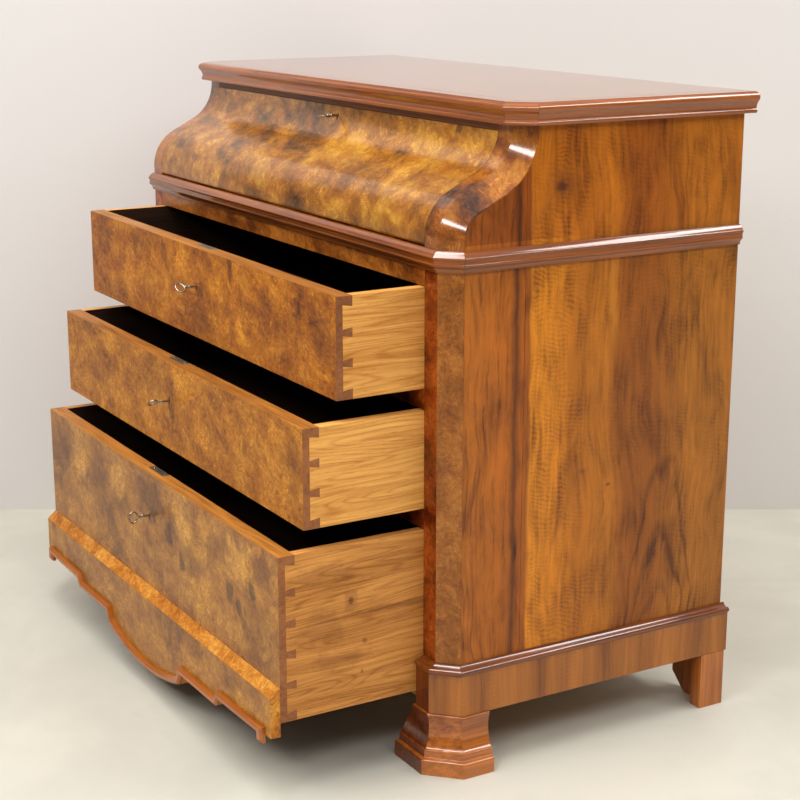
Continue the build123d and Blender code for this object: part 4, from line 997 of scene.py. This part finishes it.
# Four screws in each lock's case and, on the drawers, two in the selvage on the top edge
lockInsets = {"upper": 0.008, "middle": 0.008, "lower": 0.008, "fall": 0.006}
selvageMiddle = 0.006  # forward of the case's back
for name, inset in lockInsets.items():
    low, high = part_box(f"{name}_lock")
    columns = (low.x + inset, high.x - inset)
    places = [((x, high.y, z), (0, 1, 0)) for x in columns for z in (low.z + inset, high.z - inset)]
    if name != "fall":
        places += [((x, high.y - selvageMiddle, high.z), (0, 0, 1)) for x in columns]
    body = "fall" if name == "fall" else f"{name}_drawer"
    setHeads(f"{name}LockScrews", "screw", body, "lockSteel", places)

hingeScrews = {"plateDepth": 0.002, "belowTop": 0.0035}
low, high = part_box("fall_hinge_plates")
x, y, z = high.x - hingeScrews["plateDepth"], (low.y + high.y) / 2, high.z - hingeScrews["belowTop"]
places = [((sign * x, y, z), (-sign, 0, 0)) for sign in (-1, 1)]
setHeads("hingeScrews", "smallScrew", "carcass", "hingeBrass", places)

backNails = {"columns": 4, "edge": 0.022, "rows": (0.135, 0.40, 0.62, 0.845, 0.995), "sunk": 0.0003}
low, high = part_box("back_boards")
pitch = (high.x - low.x) / backNails["columns"]
setHeads("backNails", "nail", "carcass", "nailIron", [
    ((low.x + column * pitch + offset, high.y - backNails["sunk"], z), (0, 1, 0))
    for column in range(backNails["columns"]) for offset in (backNails["edge"], pitch - backNails["edge"])
    for z in backNails["rows"] if low.z < z < high.z
])
print("screws and nails set")

# Stage: a pale concrete floor, and a pale wall close behind that shows from its front only
stage = {
    "reach": 9.0,
    "wallDistance": 3.84,
    "wallHeight": 4.5,
    "floorLight": (0.615, 0.59, 0.50, 1),
    "floorDark": (0.54, 0.52, 0.445, 1),
    "wallColour": (0.74, 0.71, 0.69, 1),
    # polished wood reflects the wall only as far as its end, on the left, and right of the
    # step only up to its top; each limit fades over a short way
    "wallEnd": 1.2, "endFade": 0.25,
    "wallTop": 1.24, "topFade": 0.06,
    "wallStep": 0.6, "stepFade": 0.08,
}


def stagePlane(name, corners, material):
    mesh = bpy.data.meshes.new(name)
    mesh.from_pydata(corners, [], [(0, 1, 2, 3)])
    mesh.materials.append(material)
    linkObject(name, mesh)


def floorMaterial():
    material, tree, shader = newMaterial("floorConcrete", Roughness=0.55)
    place = addNode(tree, "TexCoord").outputs["Object"]
    stains = noise(tree, place, 2.2, 6.0, 0.62, 0.4)
    colour = mixColour(tree, spread(tree, stains, 0.35, 0.65), stage["floorDark"], stage["floorLight"])
    tree.links.new(colour, shader.inputs["Base Color"])
    return material


def wallMaterial(across, middle):
    material, tree, shader = newMaterial("wallPlaster", Base_Color=stage["wallColour"], Roughness=0.85)
    place = addNode(tree, "TexCoord").outputs["Object"]
    sideways = addNode(tree, "VectorMath", {0: place, 1: tuple(across)}, operation="DOT_PRODUCT")
    sideways = sideways.outputs["Value"]
    up = addNode(tree, "SeparateXYZ", {0: place}).outputs[2]
    end, top, step = middle + stage["wallEnd"], stage["wallTop"], middle + stage["wallStep"]
    past = spread(tree, sideways, end, end + stage["endFade"])
    over = spread(tree, up, top, top + stage["topFade"])
    over = multiply(tree, over, spread(tree, sideways, step + stage["stepFade"], step))
    beyond = calculate(tree, "MAXIMUM", past, over)
    gloss = addNode(tree, "LightPath").outputs["Is Glossy Ray"]
    behind = addNode(tree, "NewGeometry").outputs["Backfacing"]
    hidden = calculate(tree, "MAXIMUM", behind, multiply(tree, beyond, gloss))
    clear = addNode(tree, "BsdfTransparent").outputs[0]
    mixed = addNode(tree, "MixShader", {0: hidden, 1: shader.outputs[0], 2: clear}).outputs[0]
    tree.links.new(mixed, tree.nodes["Material Output"].inputs["Surface"])
    return material


reach = stage["reach"]
corners = [(-reach, -reach, 0), (reach, -reach, 0), (reach, reach, 0), (-reach, reach, 0)]
stagePlane("floor", corners, floorMaterial())
ahead = Vector((*viewpoint["forward"][:2], 0)).normalized()
across = Vector((-ahead.y, ahead.x, 0))
foot = Vector((*viewpoint["place"][:2], 0)) + ahead * stage["wallDistance"]
left, right, height = foot + across * reach, foot - across * reach, Vector((0, 0, stage["wallHeight"]))
stagePlane("wall", [left, right, right + height, left + height], wallMaterial(across, foot.dot(across)))

# Lamps: long ceiling panels in front, on the right and behind, a small window that gives the
# bright lines on the ogee posts, and a weak tube on the left
lamps = {  # place, the point it shines at, size in metres and power in watts
    "frontPanel": ((-0.8, -3.2, 3.2), (0, -0.2, 0.5), (2.4, 1.2), 57),
    "rightPanel": ((3.0, -0.4, 3.0), (0.3, 0, 0.5), (2.4, 1.2), 26),
    "rearPanel": ((2.1, 2.0, 3.0), (2.1, 1.1, 0.2), (3.6, 0.5), 78),
    "cornerPanel": ((0.70, -1.40, 3.0), (1.0, -1.14, 0.4), (3.0, 0.40), 56),
    "windowPanel": ((2.21, -2.40, 2.13), (0.545, -0.20, 0.93), (0.55, 0.32), 13),
    "leftTube": ((-3.2, -1.0, 2.4), (0, -0.25, 0.9), (0.5, 0.12), 6),
}
for name, (place, aim, size, power) in lamps.items():
    light = bpy.data.lights.new(name, "AREA")
    light.energy = power
    light.shape = "RECTANGLE"
    light.size, light.size_y = size
    lamp = linkObject(name, light)
    lamp.location = place
    lamp.rotation_euler = (Vector(aim) - Vector(place)).to_track_quat("-Z", "Y").to_euler()

# The room's own light: pale walls under a brighter ceiling
room = {"colour": (0.84, 0.82, 0.80, 1), "walls": 0.16, "ceiling": 1.3, "ceilingEdge": 3.0}
world = bpy.data.worlds.new("room")
world.use_nodes = True
roomTree = world.node_tree
direction = addNode(roomTree, "TexCoord").outputs["Generated"]
upward = addNode(roomTree, "SeparateXYZ", {0: direction}).outputs[2]
upward = calculate(roomTree, "MAXIMUM", upward, 0.0)
ceiling = calculate(roomTree, "POWER", upward, room["ceilingEdge"])
glow = calculate(roomTree, "MULTIPLY_ADD", ceiling, room["ceiling"], room["walls"])
background = roomTree.nodes["Background"]
background.inputs["Color"].default_value = room["colour"]
roomTree.links.new(glow, background.inputs["Strength"])
scene.world = world
print("stage and lamps placed")
